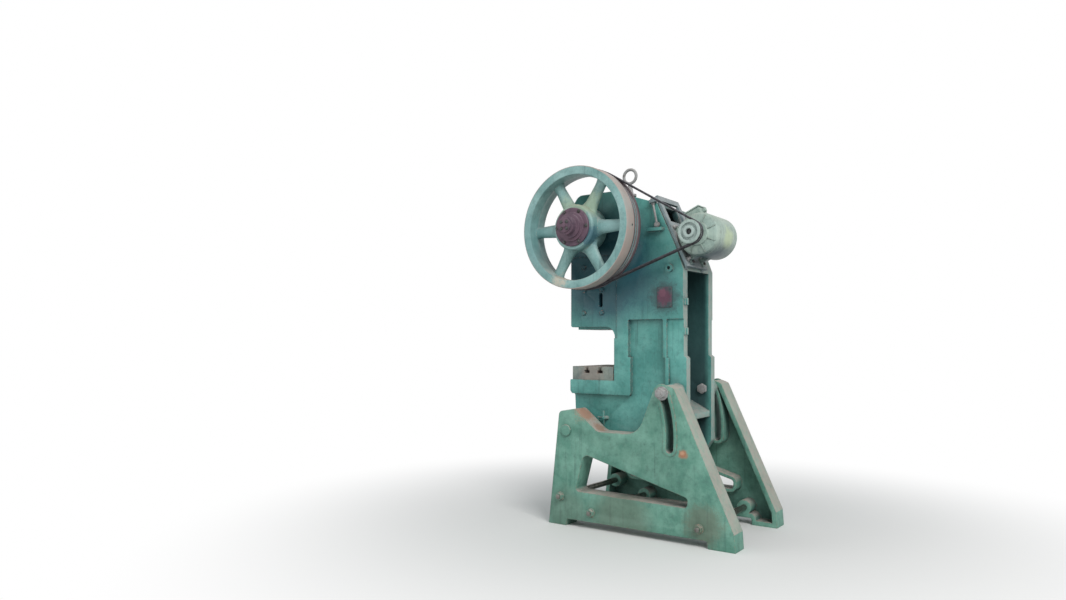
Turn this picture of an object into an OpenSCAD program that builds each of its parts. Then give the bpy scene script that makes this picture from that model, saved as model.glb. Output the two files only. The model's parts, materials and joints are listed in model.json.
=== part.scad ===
// Mechanical stamping press of the open-back inclinable kind, in millimetres.
// X runs across the machine with the flywheel on +X, Y from the front to the rear, Z upwards.
// The origin is on the floor, in the middle of the four anchor holes.

/* [Stand] */
// Distance from the centre plane to a leg's inner face
leg_inner_x = 295; // [290:1:315]
// Depth of a leg casting across the machine
leg_depth = 135; // [110:1:160]
// Wall of a leg's outer web
leg_web = 34; // [24:1:45]
// Wall of a leg's rim, window frame and bosses
leg_rim = 30; // [24:1:34]
// Half length of a leg on the floor
base_half = 645; // [635:1:700]
// Height of the front horn of a leg
horn_front_z = 770; // [755:1:790]
// Height of the saddle between the horns
saddle_z = 631; // [610:1:645]
// Height of the rear horn of a leg
horn_rear_z = 945; // [940:1:980]
// Rise of the rail between the feet
rail_rise = 45; // [30:1:55]
// Length of a front foot
foot_front = 135; // [120:1:150]
// Length of a rear foot
foot_rear = 165; // [145:1:180]
// Distance from a foot's end to its anchor hole
anchor_in = 67; // [60:1:72]
// Diameter of an anchor hole
anchor_d = 26; // [18:1:32]
// Width of the arc slot
slot_w = 50; // [46:1:54]
// Height of the pad round the arc slot
slot_pad = 6; // [3:1:12]
// Width of the pad on each side of the arc slot
slot_border = 20; // [12:1:22]
// Diameter of the tie rods between the legs
tie_d = 40; // [30:1:46]

/* [Tilt] */
// Height of the tilt pivot
pivot_z = 625; // [615:1:635]
// Distance of the tilt pivot in front of the centre
pivot_front = 508; // [500:1:515]
// Diameter of a pivot pin
pivot_d = 60; // [44:1:70]
// Largest backward tilt in degrees
tilt_max = 25; // [18:0.5:25]
// Radius from the pivot to the clamp bolts
clamp_reach = 747.5; // [742:0.5:752]
// Angle of the clamp bolts above the pivot when upright
clamp_angle = 21.2; // [20.6:0.1:21.6]
// Diameter of a clamp bolt
clamp_d = 40; // [30:1:42]

/* [Frame] */
// Distance from the centre plane to a cheek's inner face
cheek_in = 165; // [160:1:170]
// Thickness of a cheek
cheek_t = 65; // [50:1:75]
// Front of the bed and of the upper arm
front_y = -605; // [-625:1:-600]
// Front face of the column
throat_y = -261; // [-265:1:-250]
// Rear face of the frame beside the bed
rear_y = 250; // [244:1:280]
// Rear face of the column above the step
column_y = 231; // [224:1:240]
// Height of the step between both rear faces
step_z = 1106; // [1090:1:1120]
// Underside of the frame
frame_foot_z = 465; // [440:1:490]
// Top of the bed
bed_z = 950; // [930:1:960]
// Thickness of the bed plate
bed_t = 76; // [60:1:90]
// Underside of the upper arm
arm_z = 1306; // [1290:1:1312]
// Top of the crown
crown_z = 2200; // [2190:1:2260]
// Wall of the crown, front and bottom
shell_t = 36; // [28:1:42]
// Depth of the recess beside the bed and in the column
panel_in = 28; // [20:1:32]
// Depth of the recess along the rear edge and round the gib bolts
step_in = 10; // [6:1:14]
// Diameter of the drop hole in bed and bolster
drop_d = 130; // [80:1:160]
// Gap between a running face and its guide
slide_gap = 0.3; // [0.2:0.05:0.5]
// Clearance behind the slide
slide_back = 8; // [6:1:14]
// Radial clearance of the running fits
run_gap = 0.05; // [0.02:0.01:0.09]
// Radial clearance of the bolt holes
bolt_gap = 0.5; // [0.3:0.1:1]

/* [Bolster] */
// Thickness of the bolster plate
bolster_t = 90; // [70:1:110]
// Length of the bolster across the machine
bolster_w = 460; // [420:1:500]
// Gap from the bed's front to the bolster
bolster_in = 20; // [10:1:40]
// Depth of the bolster from front to rear
bolster_d = 316; // [290:1:320]
// Width of a T-slot's neck
tslot_neck = 22; // [16:1:26]
// Width of a T-slot's foot
tslot_foot = 40; // [34:1:44]

/* [Crank and rod] */
// Height of the crankshaft
crank_z = 1948; // [1940:1:1955]
// Distance of the crankshaft in front of the centre
crank_front = 430; // [425:1:435]
// Throw of the crankpin, half the stroke
crank_throw = 50; // [40:1:52]
// Diameter of the main journals
journal_d = 110; // [90:1:120]
// Wall of the main bushes
bush_t = 16; // [8:1:20]
// Diameter of the crankpin
crankpin_d = 130; // [110:1:134]
// Half width of the connecting rod's big end
rod_half = 70; // [55:1:74]
// Thickness of a crank web
web_t = 42; // [30:1:48]
// Outer radius of the big end
big_end_r = 100; // [96:1:104]
// Wall of the rod bush
rod_bush_t = 12; // [6:1:14]
// Diameter of the rod's shank
shank_d = 110; // [96:1:112]
// Height of the rod's lower end at top dead centre
rod_end_z = 1700; // [1690:1:1710]
// Diameter of the adjusting screw
screw_d = 70; // [56:1:76]
// Diameter of the screw's ball
ball_d = 90; // [80:1:96]
// Height of the ball at top dead centre
ball_z = 1582; // [1578:1:1588]
// Travel of the adjusting screw
screw_travel = 40; // [20:1:40]

/* [Slide] */
// Underside of the slide at top dead centre
slide_z = 1290; // [1280:1:1292]
// Height of the slide
slide_h = 370; // [350:1:380]
// Depth of the slide from front to rear
slide_d = 250; // [246:1:258]
// Height of the slide's flange
flange_h = 45; // [35:1:50]
// Depth of the V in the gibs
vee_in = 25; // [16:1:28]
// Half width of the V at its mouth
vee_half = 42; // [30:1:55]
// Distance from the centre plane to the gibs
gib_x = 120; // [112:1:125]
// Top of the gibs
gib_top_z = 1760; // [1740:1:1765]
// Diameter of the tool shank hole
tool_d = 50; // [40:1:56]
// Depth of the tool shank hole
tool_h = 60; // [45:1:64]

/* [Flywheel] */
// Outer diameter of the flywheel
wheel_d = 796; // [760:1:800]
// Width of the rim
rim_w = 180; // [170:1:200]
// Radial depth of the rim
rim_t = 56; // [46:1:64]
// Rear face of the flywheel
wheel_x = 286; // [285:1:292]
// Number of spokes
spoke_count = 6; // [5:1:8]
// Width of a spoke at the hub
spoke_w = 92; // [70:1:100]
// Diameter of the wheel's hub
hub_d = 300; // [270:1:310]
// Wall of the wheel's bushes
wheel_bush_t = 15; // [10:1:18]
// Diameter of the crank end under the wheel
crank_end_d = 90; // [80:1:96]
// Diameter of the hub cap
cap_d = 250; // [220:1:258]
// Number of belts
belt_count = 2; // [1:1:3]
// Distance between neighbouring belts
belt_pitch = 25; // [24:0.5:26]

/* [Brake] */
// Diameter of the brake drum
drum_d = 260; // [220:1:280]
// Width of the brake drum
drum_w = 60; // [50:1:66]
// Thickness of the brake lining
lining_t = 6; // [4:0.5:8]
// Thickness of the brake band
band_t = 4; // [3:0.5:6]

/* [Motor] */
// Diameter of the motor's barrel
barrel_d = 270; // [230:1:290]
// Clearance between the motor's barrel and the motor plate
motor_clear = 5; // [3:1:12]
// Length of the motor's barrel
barrel_l = 250; // [235:1:290]
// Distance from the motor's axis to its foot bolts
foot_bolt_y = 118; // [112:1:124]
// Diameter of the motor's shaft
motor_shaft_d = 38; // [28:1:42]
// Pitch diameter of the motor's pulley
pulley_d = 140; // [125:1:150]
// Thickness of the motor plate
plate_t = 18; // [12:1:22]
// Height of the pads under the motor plate
plate_gap = 4; // [3:1:10]
// Length of the motor plate above the shoulder
plate_up = 350; // [335:1:360]
// Length of the motor plate below the shoulder
plate_down = 158; // [150:1:164]
// Width of the pads under the motor plate
bracket_t = 30; // [28:1:36]
// Distance of the upper studs above the shoulder
high_stud = 118; // [112:1:124]
// Distance of the lower studs below the shoulder
low_stud = 108; // [104:1:114]
// Distance of the motor along the slope below the shoulder
motor_down = 12; // [0:1:20]

/* [Hidden] */
$fn = 64;
big = 3000;
face_gap = 0.3;
paint = [0.43, 0.66, 0.58];
wheel_paint = [0.55, 0.73, 0.65];
motor_paint = [0.66, 0.74, 0.62];
steel = [0.50, 0.50, 0.49];
dark_steel = [0.30, 0.30, 0.31];
bronze = [0.62, 0.48, 0.26];
rust = [0.43, 0.27, 0.28];
rubber = [0.13, 0.13, 0.13];

// Places worked out from the sizes above
leg_outer_x = leg_inner_x + leg_depth;
pivot_y = -pivot_front;
crank_y = -crank_front;
cheek_out = cheek_in + cheek_t;
clamp_y = pivot_y + clamp_reach * cos(clamp_angle);
clamp_z = pivot_z + clamp_reach * sin(clamp_angle);
pivot_boss_r = pivot_d / 2 + 45;
tie_boss_r = tie_d / 2 + 28;
tie_points = [[-552, 187], [-316, 106], [424, 110]];
deep_x = cheek_out - panel_in;
step_x = cheek_out - step_in;
boss_x = cheek_out + 32;
boss_r = journal_d / 2 + bush_t + 36;
main_bush_r = journal_d / 2 + run_gap + bush_t;
bearing_half = boss_r + 4;
bolster_y = front_y + bolster_in;
bolster_top = bed_z + bolster_t;
tslot_points = [bolster_y + 114, bolster_y + 216];
slide_top = slide_z + slide_h;
gib_foot_z = slide_z + flange_h + 15;
pin_z = crank_z + crank_throw;
web_x = rod_half + 5 + web_t;
rod_bore_r = crankpin_d / 2 + run_gap + rod_bush_t;
rod_ear_y = big_end_r + 22;
rod_bolt_y = rod_bore_r + 22;
pocket_y = shank_d / 2 + crank_throw + 3;
pocket_x = shank_d / 2 + 3;
seat_top = ball_z - ball_d / 2 - 2 * crank_throw - screw_travel - 3;
seat_t = 18;
collar_x = boss_x + face_gap;
wheel_r = wheel_d / 2;
rim_front = wheel_x + rim_w;
rim_inner = wheel_r - rim_t;
hub_front = rim_front + 2;
wheel_bush_r = crank_end_d / 2 + run_gap + wheel_bush_t;
belt_x = wheel_x + 38;
belt_w = 17;
belt_h = 11;
belt_out = 2.5;
belt_slant = 19;
belt_foot = belt_w - 2 * belt_h * tan(belt_slant);
groove_h = 14;
drum_x = boss_x + 34;

// Brow, shoulder and knee of the crown's rear, and the slope from brow to shoulder
crown_flat_y = -268;
brow_y = 49;
brow_z = crown_z - 109;
shoulder_y = 177;
shoulder_z = crown_z - 388;
knee_z = crown_z - 532;
slope = atan2(brow_z - shoulder_z, shoulder_y - brow_y);
motor_lean = slope;
out = [sin(slope), cos(slope)];
up = [-cos(slope), sin(slope)];
motor_h = barrel_d / 2 + motor_clear;
motor_off = plate_gap + plate_t + motor_h;
motor_at = [shoulder_y, shoulder_z] - up * motor_down + out * motor_off;
pulley_x = belt_x + (belt_count - 1) * belt_pitch / 2;

// Plane helpers: inward offset of a counter-clockwise outline and rounded corners.
// Each point is [y, z, corner radius].
function flat(p) = [p[0], p[1]];
function unit(v) = v / norm(v);
function side_of(a, b) = a[0] * b[1] - a[1] * b[0];
function left_of(v) = [-v[1], v[0]];
function before(pts, i) = pts[(i + len(pts) - 1) % len(pts)];
function after(pts, i) = pts[(i + 1) % len(pts)];
function inset_point(p, q, s, d) =
  let (a = unit(flat(q) - flat(p)), b = unit(flat(s) - flat(q)))
  let (n = left_of(a) + left_of(b), r = q[2] - d * sign(side_of(a, b)))
  let (at = flat(q) + d * n / (1 + left_of(a) * left_of(b)))
  [at[0], at[1], q[2] == 0 ? 0 : max(8, r)];
function inset(pts, d) = [
  for (i = [0:len(pts) - 1]) inset_point(before(pts, i), pts[i], after(pts, i), d)
];
function corner(p, q, s, r, n) =
  let (a = unit(p - q), b = unit(s - q), half = acos(a * b) / 2)
  let (c = q + unit(a + b) * r / sin(half), from = q + a * r / tan(half) - c)
  let (start = atan2(from[1], from[0]), turn = sign(side_of(b, a)))
  [for (i = [0:n]) c + r * [for (w = [0, 90]) cos(start + turn * (180 - 2 * half) * i / n - w)]];
function rounded(pts, n = 6) = [
  for (i = [0:len(pts) - 1])
    each pts[i][2] == 0 ? [flat(pts[i])]
      : corner(flat(before(pts, i)), flat(pts[i]), flat(after(pts, i)), pts[i][2], n)
];

// Outline of a leg, seen from the flywheel's side
leg_points = [
  [-base_half, 0, 0],
  [-base_half + foot_front, 0, 0],
  [-base_half + foot_front + 8, rail_rise, 10],
  [base_half - foot_rear - 8, rail_rise, 10],
  [base_half - foot_rear, 0, 0],
  [base_half, 0, 0],
  [base_half - 8, 105, 30],
  [264, horn_rear_z - 18, 26],
  [215, horn_rear_z, 26],
  [138, horn_rear_z - 12, 26],
  [20, saddle_z, 130],
  [-271, saddle_z, 60],
  [-440, horn_front_z, 26],
  [-562, horn_front_z - 22, 30]
];

// Outline of the window in a leg
window_points = [
  [-438, 233, 22],
  [349, 220, 22],
  [352, 280, 22],
  [-372, 480, 40]
];

// Outline of a frame cheek
cheek_points = [
  [front_y + 40, frame_foot_z, 30],
  [rear_y - 60, frame_foot_z, 60],
  [rear_y, frame_foot_z + 90, 40],
  [rear_y, step_z, 8],
  [column_y, step_z + 14, 0],
  [column_y, knee_z, 0],
  [shoulder_y, shoulder_z, 0],
  [brow_y, brow_z, 0],
  [crown_flat_y, crown_z, 60],
  [front_y + 70, crown_z, 60],
  [front_y, crown_z - 90, 40],
  [front_y, arm_z, 14],
  [throat_y, arm_z, 70],
  [throat_y, bed_z, 7],
  [front_y, bed_z, 8],
  [front_y, bed_z - bed_t, 8],
  [front_y + 22, bed_z - bed_t - 30, 10]
];

// Deep recess that runs beside the bed and up the column, open at the front
panel_low = frame_foot_z + 95;
panel_high = arm_z + 44;
side_panel = [
  [front_y - 30, panel_low, 0],
  [rear_y - 143, panel_low, 40],
  [rear_y - 143, step_z, 0],
  [rear_y - 158, step_z, 0],
  [rear_y - 158, panel_high, 10],
  [throat_y + 104, panel_high, 10],
  [throat_y + 104, step_z, 0],
  [throat_y + 121, step_z, 0],
  [throat_y + 121, bed_z - bed_t - 19, 12],
  [front_y - 30, bed_z - bed_t - 19, 0]
];

// Shallow recess along the rear edge, and the one on the arm round the gib bolts
rear_panel = [
  [rear_y - 117, panel_low + 40, 0],
  [rear_y + 50, panel_low + 40, 0],
  [rear_y + 50, panel_high, 0],
  [rear_y - 132, panel_high, 10],
  [rear_y - 132, step_z, 0],
  [rear_y - 117, step_z, 0]
];
arm_panel = [
  [front_y - 40, arm_z - 75, 0],
  [throat_y + 18, arm_z - 75, 0],
  [throat_y + 18, gib_top_z + 20, 40],
  [front_y - 40, gib_top_z + 20, 0]
];

// Upright slot in the arm, between the rows of gib bolts
arm_slot_y = crank_y + 61;
arm_slot_z = gib_foot_z + 136;
arm_slot = [
  [arm_slot_y - 14, arm_slot_z - 48, 13],
  [arm_slot_y + 14, arm_slot_z - 48, 13],
  [arm_slot_y + 14, arm_slot_z + 48, 13],
  [arm_slot_y - 14, arm_slot_z + 48, 13]
];

// Solid helpers
module across(x0, x1) {
  translate([x0, 0, 0]) rotate([90, 0, 90]) linear_extrude(x1 - x0) children();
}
module rod_x(x0, x1, y, z, r, n = 64) {
  translate([x0, y, z]) rotate([0, 90, 0]) cylinder(h = x1 - x0, r = r, $fn = n);
}
module spin_x(y, z) {
  translate([0, y, z]) rotate([0, 90, 0]) rotate_extrude($fn = 128) children();
}
module block(x0, x1, y0, y1, z0, z1) {
  translate([x0, y0, z0]) cube([x1 - x0, y1 - y0, z1 - z0]);
}
module both() {
  children();
  mirror([1, 0, 0]) children();
}
module outline(pts, n = 6) {
  polygon(rounded(pts, n));
}
module ring(outer, inner) {
  difference() {
    circle(r = outer);
    circle(r = inner);
  }
}

// A bolt along +Z: the head stands on Z = 0 and the shank goes down
module bolt(d, length) {
  translate([0, 0, -length]) cylinder(h = length + 0.01, d = d, $fn = 24);
  cylinder(h = 0.65 * d, r = 0.92 * d, $fn = 6);
}
module bolt_x(x, y, z, d, length, way = 1) {
  translate([x, y, z]) rotate([0, 90 * way, 0]) bolt(d, length);
}

// The slot in which a clamp bolt swings about the tilt pivot
module arc_slot(w) {
  low = clamp_angle - tilt_max - 1;
  high = clamp_angle + 1;
  translate([pivot_y, pivot_z]) {
    intersection() {
      ring(clamp_reach + w / 2, clamp_reach - w / 2, $fn = 128);
      polygon([[0, 0], big * [cos(low), sin(low)], big * [cos(high), sin(high)]]);
    }
    for (a = [low, high]) translate(clamp_reach * [cos(a), sin(a)]) circle(r = w / 2);
  }
}

module leg_casting() {
  anchor_x = (leg_inner_x + leg_outer_x - leg_web) / 2;
  difference() {
    union() {
      across(leg_inner_x, leg_outer_x) outline(leg_points);
      across(leg_outer_x - 1, leg_outer_x + slot_pad) arc_slot(slot_w + 2 * slot_border);
    }
    across(leg_inner_x - 1, leg_outer_x - leg_web) difference() {
      outline(inset(leg_points, leg_rim));
      outline(inset(window_points, -leg_rim * 0.7));
      arc_slot(slot_w + 2 * slot_border);
      translate([pivot_y, pivot_z]) circle(r = pivot_boss_r);
      for (p = tie_points) translate(p) circle(r = tie_boss_r);
    }
    across(leg_inner_x - 1, leg_outer_x + 1) outline(window_points);
    across(leg_inner_x - 1, leg_outer_x + slot_pad + 1) arc_slot(slot_w);
    rod_x(leg_inner_x - 1, leg_outer_x + 1, pivot_y, pivot_z, pivot_d / 2 + run_gap);
    for (p = tie_points) rod_x(leg_inner_x - 1, leg_outer_x + 1, p[0], p[1], tie_d / 2 + bolt_gap - 5);
    for (y = [-1, 1] * (base_half - anchor_in))
      translate([anchor_x, y, -1]) cylinder(h = leg_rim + 3, d = anchor_d, $fn = 32);
  }
}
module leg_right() {
  color(paint) leg_casting();
}
module leg_left() {
  color(paint) mirror([1, 0, 0]) leg_casting();
}

// Each tie rod has a shoulder against the legs' inner faces and a thinner end through each leg
module leg_tie_rods() {
  end_x = leg_outer_x + 34;
  color(steel) for (p = tie_points) union() {
    rod_x(-leg_inner_x, leg_inner_x, p[0], p[1], tie_d / 2);
    rod_x(-end_x, end_x, p[0], p[1], tie_d / 2 - 5);
  }
}
module tie_rod_nuts() {
  hole_r = tie_d / 2 - 5 + run_gap;
  color(paint) both() for (p = tie_points) difference() {
    union() {
      rod_x(leg_outer_x, leg_outer_x + 6, p[0], p[1], tie_d / 2 + 10, 32);
      rod_x(leg_outer_x + 5, leg_outer_x + 28, p[0], p[1], tie_d / 2 + 6, 6);
    }
    rod_x(leg_outer_x - 1, leg_outer_x + 30, p[0], p[1], hole_r);
  }
}
module pivot_pins() {
  color(paint) both() {
    rod_x(cheek_in + 4, leg_outer_x + 1, pivot_y, pivot_z, pivot_d / 2);
    rod_x(leg_outer_x, leg_outer_x + 10, pivot_y, pivot_z, pivot_d / 2 + 8);
  }
}

// Walls between the cheeks: crown, rear of the crown, back of the guideway, bed, chute and foot
module frame_walls() {
  reach = cheek_in + 5;
  across(-reach, reach) {
    intersection() {
      difference() {
        outline(cheek_points);
        outline(inset(cheek_points, shell_t));
      }
      polygon([
        [front_y + 50, crown_z - 70], [front_y + 50, crown_z + 9], [rear_y, crown_z + 9],
        [rear_y, knee_z - 13], [0, knee_z - 13], [0, crown_z - 300]
      ]);
    }
    intersection() {
      difference() {
        outline(cheek_points);
        outline(inset(cheek_points, shell_t));
      }
      translate([front_y - 9, frame_foot_z - 9])
        square([150 - front_y, bed_z - bed_t - frame_foot_z]);
    }
    translate([crank_y + slide_d / 2 + slide_back, arm_z]) square([shell_t, gib_top_z - arm_z]);
    intersection() {
      outline(cheek_points);
      translate([front_y, bed_z - bed_t]) square([throat_y + 120 - front_y, bed_t]);
    }
    polygon([
      [throat_y + 110, bed_z], [throat_y + 110, bed_z - bed_t], [rear_y - 10, 712], [rear_y - 10, 748]
    ]);
  }
}

// A cheek in three layers, so that bosses rise from the floor of a recess
spot = [shoulder_y - 35, knee_z + 2];
module frame_cheek() {
  across(cheek_in, deep_x) outline(cheek_points);
  across(deep_x - 1, step_x) difference() {
    outline(cheek_points);
    outline(side_panel);
  }
  across(step_x - 1, cheek_out) difference() {
    outline(cheek_points);
    outline(side_panel);
    outline(arm_panel);
    outline(rear_panel);
  }
  rod_x(deep_x - 1, boss_x, crank_y, crank_z, boss_r);
  rod_x(deep_x - 1, leg_inner_x - face_gap, pivot_y, pivot_z, pivot_boss_r - 8);
  rod_x(deep_x - 1, leg_inner_x - face_gap, clamp_y, clamp_z, clamp_d / 2 + 32);
  across(deep_x - 1, cheek_out + 22) translate(spot) circle(r = 26);
}
module frame_cheek_cuts() {
  rod_x(cheek_in - 1, boss_x + 1, crank_y, crank_z, main_bush_r);
  block(cheek_in - 6, boss_x + 9, front_y - 9, crank_y, crank_z - bearing_half, crank_z + bearing_half);
  rod_x(cheek_in - 6, leg_inner_x + 1, pivot_y, pivot_z, pivot_d / 2 + run_gap);
  rod_x(cheek_in - 6, leg_inner_x + 1, clamp_y, clamp_z, clamp_d / 2 + bolt_gap);
  across(cheek_out + 4, cheek_out + 30) translate(spot) circle(r = 11, $fn = 32);
  across(cheek_in - 6, cheek_out + 1) outline(arm_slot);
  for (z = gib_rows()) for (y = gib_bolt_y()) rod_x(cheek_in - 6, cheek_out + 1, y, z, 8 + bolt_gap, 24);
}
module frame() {
  color(paint) difference() {
    union() {
      both() frame_cheek();
      frame_walls();
      adjuster_ledge();
    }
    both() frame_cheek_cuts();
    translate([0, crank_y, bed_z - bed_t - 1]) cylinder(h = bed_t + 2, d = drop_d);
    translate([0, crown_flat_y, crown_z - shell_t - 1]) cylinder(h = shell_t + 2, d = eye_d + 2 * run_gap);
    for (x = bolster_bolt_x()) for (y = bolster_bolt_y())
      translate([x, y, bed_z - 45]) cylinder(h = 46, d = 20 + 2 * run_gap, $fn = 24);
    cap_bolt_places() translate([0, 0, -130]) cylinder(h = 90, d = 22 + 2 * run_gap, $fn = 24);
    rod_x(deep_x - cock_in, deep_x + 1, cock_y, cock_z, cock_r + run_gap, 24);
    rod_x(cheek_out - pin_in, cheek_out + 1, adjuster_at[0], adjuster_at[1], adjuster_r + 1 + run_gap, 24);
    studs() translate([0, 0, -shell_t - 1]) cylinder(h = shell_t + 2, d = 16 + 2 * run_gap, $fn = 24);
    on_slope() translate([bracket_x[0] + bracket_t + 8, -rear_window_up, -shell_t - 12])
      cube([cheek_in - bracket_x[0] - bracket_t - 13, rear_window_up - window_low, shell_t + 14]);
  }
}

// The two caps that close the main bearings from the front
cap_front = crank_y - boss_r + 4;
module bearing_caps() {
  z0 = crank_z - bearing_half + bolt_gap;
  z1 = crank_z + bearing_half - bolt_gap;
  color(paint) both() difference() {
    across(cheek_in, boss_x) outline([
      [crank_y, z0, 0], [crank_y, z1, 0], [cap_front, z1, 40], [cap_front, z0, 40]
    ]);
    rod_x(cheek_in - 1, boss_x + 1, crank_y, crank_z, main_bush_r);
    cap_bolt_one() translate([0, 0, -120]) cylinder(h = 130, d = 22 + 2 * bolt_gap, $fn = 24);
    grease_one() translate([0, 0, -60]) cylinder(h = 61, d = 12 + 2 * run_gap, $fn = 24);
  }
}
module cap_bolt_one() {
  for (z = [-1, 1] * (main_bush_r + 17)) translate([(cheek_in + boss_x) / 2, cap_front, crank_z + z])
    rotate([90, 0, 0]) children();
}
module cap_bolt_places() {
  both() cap_bolt_one() children();
}
module bearing_cap_bolts() {
  color(dark_steel) cap_bolt_places() bolt(22, crank_y - cap_front + 24);
}
module main_bushes() {
  color(bronze) both() spin_x(crank_y, crank_z) polygon([
    [journal_d / 2 + run_gap, cheek_in], [main_bush_r - run_gap, cheek_in],
    [main_bush_r - run_gap, boss_x], [journal_d / 2 + run_gap, boss_x]
  ]);
}
module grease_one() {
  translate([(cheek_in + boss_x) / 2, cap_front, crank_z]) rotate([90, 0, 0]) children();
}
module grease_cups() {
  color(dark_steel) both() grease_one() rotate_extrude($fn = 32) polygon([
    [0, -24], [6, -24], [6, 0], [9, 0], [9, 10], [16, 12], [16, 34], [10, 40], [0, 40]
  ]);
}

function bolster_bolt_x() = [-1, 1] * (bolster_w / 2 - 50);
function bolster_bolt_y() = [bolster_y + 40, bolster_y + bolster_d - 34];
module bolster() {
  color([0.72, 0.74, 0.62]) difference() {
    block(-bolster_w / 2, bolster_w / 2, bolster_y, bolster_y + bolster_d, bed_z, bolster_top);
    translate([0, crank_y, bed_z - 1]) cylinder(h = bolster_t + 2, d = drop_d);
    for (y = tslot_points) {
      block(-big / 2, big / 2, y - tslot_neck / 2, y + tslot_neck / 2, bolster_top - 40, bolster_top + 1);
      block(-big / 2, big / 2, y - tslot_foot / 2, y + tslot_foot / 2, bolster_top - 44, bolster_top - 26);
    }
    for (x = bolster_bolt_x()) for (y = bolster_bolt_y()) {
      translate([x, y, bed_z - 1]) cylinder(h = bolster_t + 2, r = 10 + bolt_gap, $fn = 24);
      translate([x, y, bolster_top - 24]) cylinder(h = 25, r = 18);
    }
  }
}
module bolster_bolts() {
  color(dark_steel) for (x = bolster_bolt_x()) for (y = bolster_bolt_y())
    translate([x, y, bolster_top - 24]) difference() {
      union() {
        translate([0, 0, 24 - bolster_t - 40]) cylinder(h = bolster_t + 16.01, r = 10, $fn = 24);
        cylinder(h = 20, r = 16, $fn = 32);
      }
      translate([0, 0, 10]) cylinder(h = 11, r = 9, $fn = 6);
    }
}

// Gibs with V ridges that run in the V grooves of the slide
function gib_rows() = [gib_foot_z + 50, (gib_foot_z + gib_top_z) / 2, gib_top_z - 50];
function gib_bolt_y() = [crank_y - 70, crank_y + 70];
gib_half = slide_d / 2 - 10;
module gibs() {
  color(steel) both() difference() {
    translate([0, crank_y, gib_foot_z]) linear_extrude(gib_top_z - gib_foot_z) polygon([
      [gib_x, -gib_half], [cheek_in, -gib_half], [cheek_in, gib_half], [gib_x, gib_half],
      [gib_x, vee_half], [gib_x - vee_in, 0], [gib_x, -vee_half]
    ]);
    for (z = gib_rows()) for (y = gib_bolt_y()) rod_x(cheek_in - 28, cheek_in + 1, y, z, 8 + run_gap, 24);
  }
}
module gib_bolts() {
  color(dark_steel) both() for (z = gib_rows()) for (y = gib_bolt_y())
    bolt_x(step_x, y, z, 16, step_x - cheek_in + 26);
}

// Bare plate over the inspection opening of the right cheek
module side_cover() {
  y = 106;
  z = 1488;
  color(rust) {
    block(cheek_out, cheek_out + 5, y - 52, y + 52, z - 66, z + 66);
    for (dy = [-1, 1] * 40) for (dz = [-1, 1] * 54)
      translate([cheek_out + 5, y + dy, z + dz]) rotate([0, 90, 0]) cylinder(h = 4, r = 6, $fn = 24);
  }
}

// Two hinge knuckles on the rear edge of the right cheek, each a flap and a barrel
lug_h = 44;
module rear_lugs() {
  color(paint) for (z = [panel_high + 86, panel_high - 99]) translate([cheek_out - 35, column_y, z])
    difference() {
      linear_extrude(lug_h) union() {
        translate([-25, 0]) square([50, 8]);
        translate([0, 10]) circle(r = 9.5, $fn = 32);
      }
      translate([0, 10, -1]) cylinder(h = lug_h + 2, r = 4.5, $fn = 24);
    }
}

// Drain cock on the floor of the recess: its spout points to the front, its handle turns about X
cock_y = crank_y + 100;
cock_z = bed_z - 250;
cock_r = 8;
cock_in = 20;
cock_out = deep_x + 40;
module drain_cock() {
  color(bronze) union() {
    rod_x(deep_x - cock_in + 2, deep_x + 10, cock_y, cock_z, cock_r, 24);
    rod_x(deep_x, deep_x + 9, cock_y, cock_z, cock_r + 7, 6);
    rod_x(deep_x + 8, cock_out, cock_y, cock_z, cock_r + 5, 32);
    translate([deep_x + 24, cock_y, cock_z]) rotate([90, 0, 0]) cylinder(h = 60, r = cock_r - 1, $fn = 24);
    translate([deep_x + 24, cock_y - 53, cock_z - 18]) cylinder(h = 22, r = cock_r, $fn = 24);
  }
}
module cock_handle() {
  x = cock_out + face_gap;
  color(dark_steel) union() {
    rod_x(x, x + 12, cock_y, cock_z, cock_r + 3, 24);
    block(x + 3, x + 10, cock_y - 5, cock_y + 5, cock_z - 48, cock_z + 48);
  }
}

// Eye bolt with a collar, screwed into the crown
eye_d = 42;
eye_r = 47;
eye_wire = 10;
module lifting_eye() {
  color(paint) translate([0, crown_flat_y, crown_z]) {
    translate([0, 0, -shell_t]) cylinder(h = shell_t + 1, d = eye_d);
    cylinder(h = 14, r = 44);
    translate([0, 0, 12]) cylinder(h = 84, r1 = 26, r2 = 10);
    translate([0, 0, 90 + eye_r]) rotate([0, 90, 0]) rotate_extrude($fn = 96) translate([eye_r, 0])
      circle(r = eye_wire, $fn = 32);
  }
}

// Crankshaft: journals, webs, crankpin and the long right end under the flywheel
module crankshaft() {
  left_end = drum_x + drum_w + 18;
  color(steel) union() {
    both() rod_x(rod_half + 4, boss_x, crank_y, crank_z, journal_d / 2);
    both() across(rod_half + 5, web_x) {
      translate([crank_y, pin_z]) circle(r = crankpin_d / 2 + 16);
      translate([crank_y, crank_z]) circle(r = crankpin_d / 2 + 34);
    }
    rod_x(-rod_half - 6, rod_half + 6, crank_y, pin_z, crankpin_d / 2);
    rod_x(boss_x - 1, hub_front + 26, crank_y, crank_z, crank_end_d / 2);
    rod_x(-left_end, -boss_x + 1, crank_y, crank_z, crank_end_d / 2);
  }
}
module clutch_collar() {
  color(dark_steel) difference() {
    rod_x(collar_x, wheel_x - face_gap, crank_y, crank_z, hub_d / 2 - 42);
    rod_x(collar_x - 1, wheel_x, crank_y, crank_z, crank_end_d / 2 + run_gap);
    for (a = [0, 180]) translate([collar_x - 1, crank_y, crank_z]) rotate([a, 0, 0])
      translate([0, hub_d / 2 - 58, -14]) cube([wheel_x - collar_x + 2, 40, 28]);
  }
}
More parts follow.
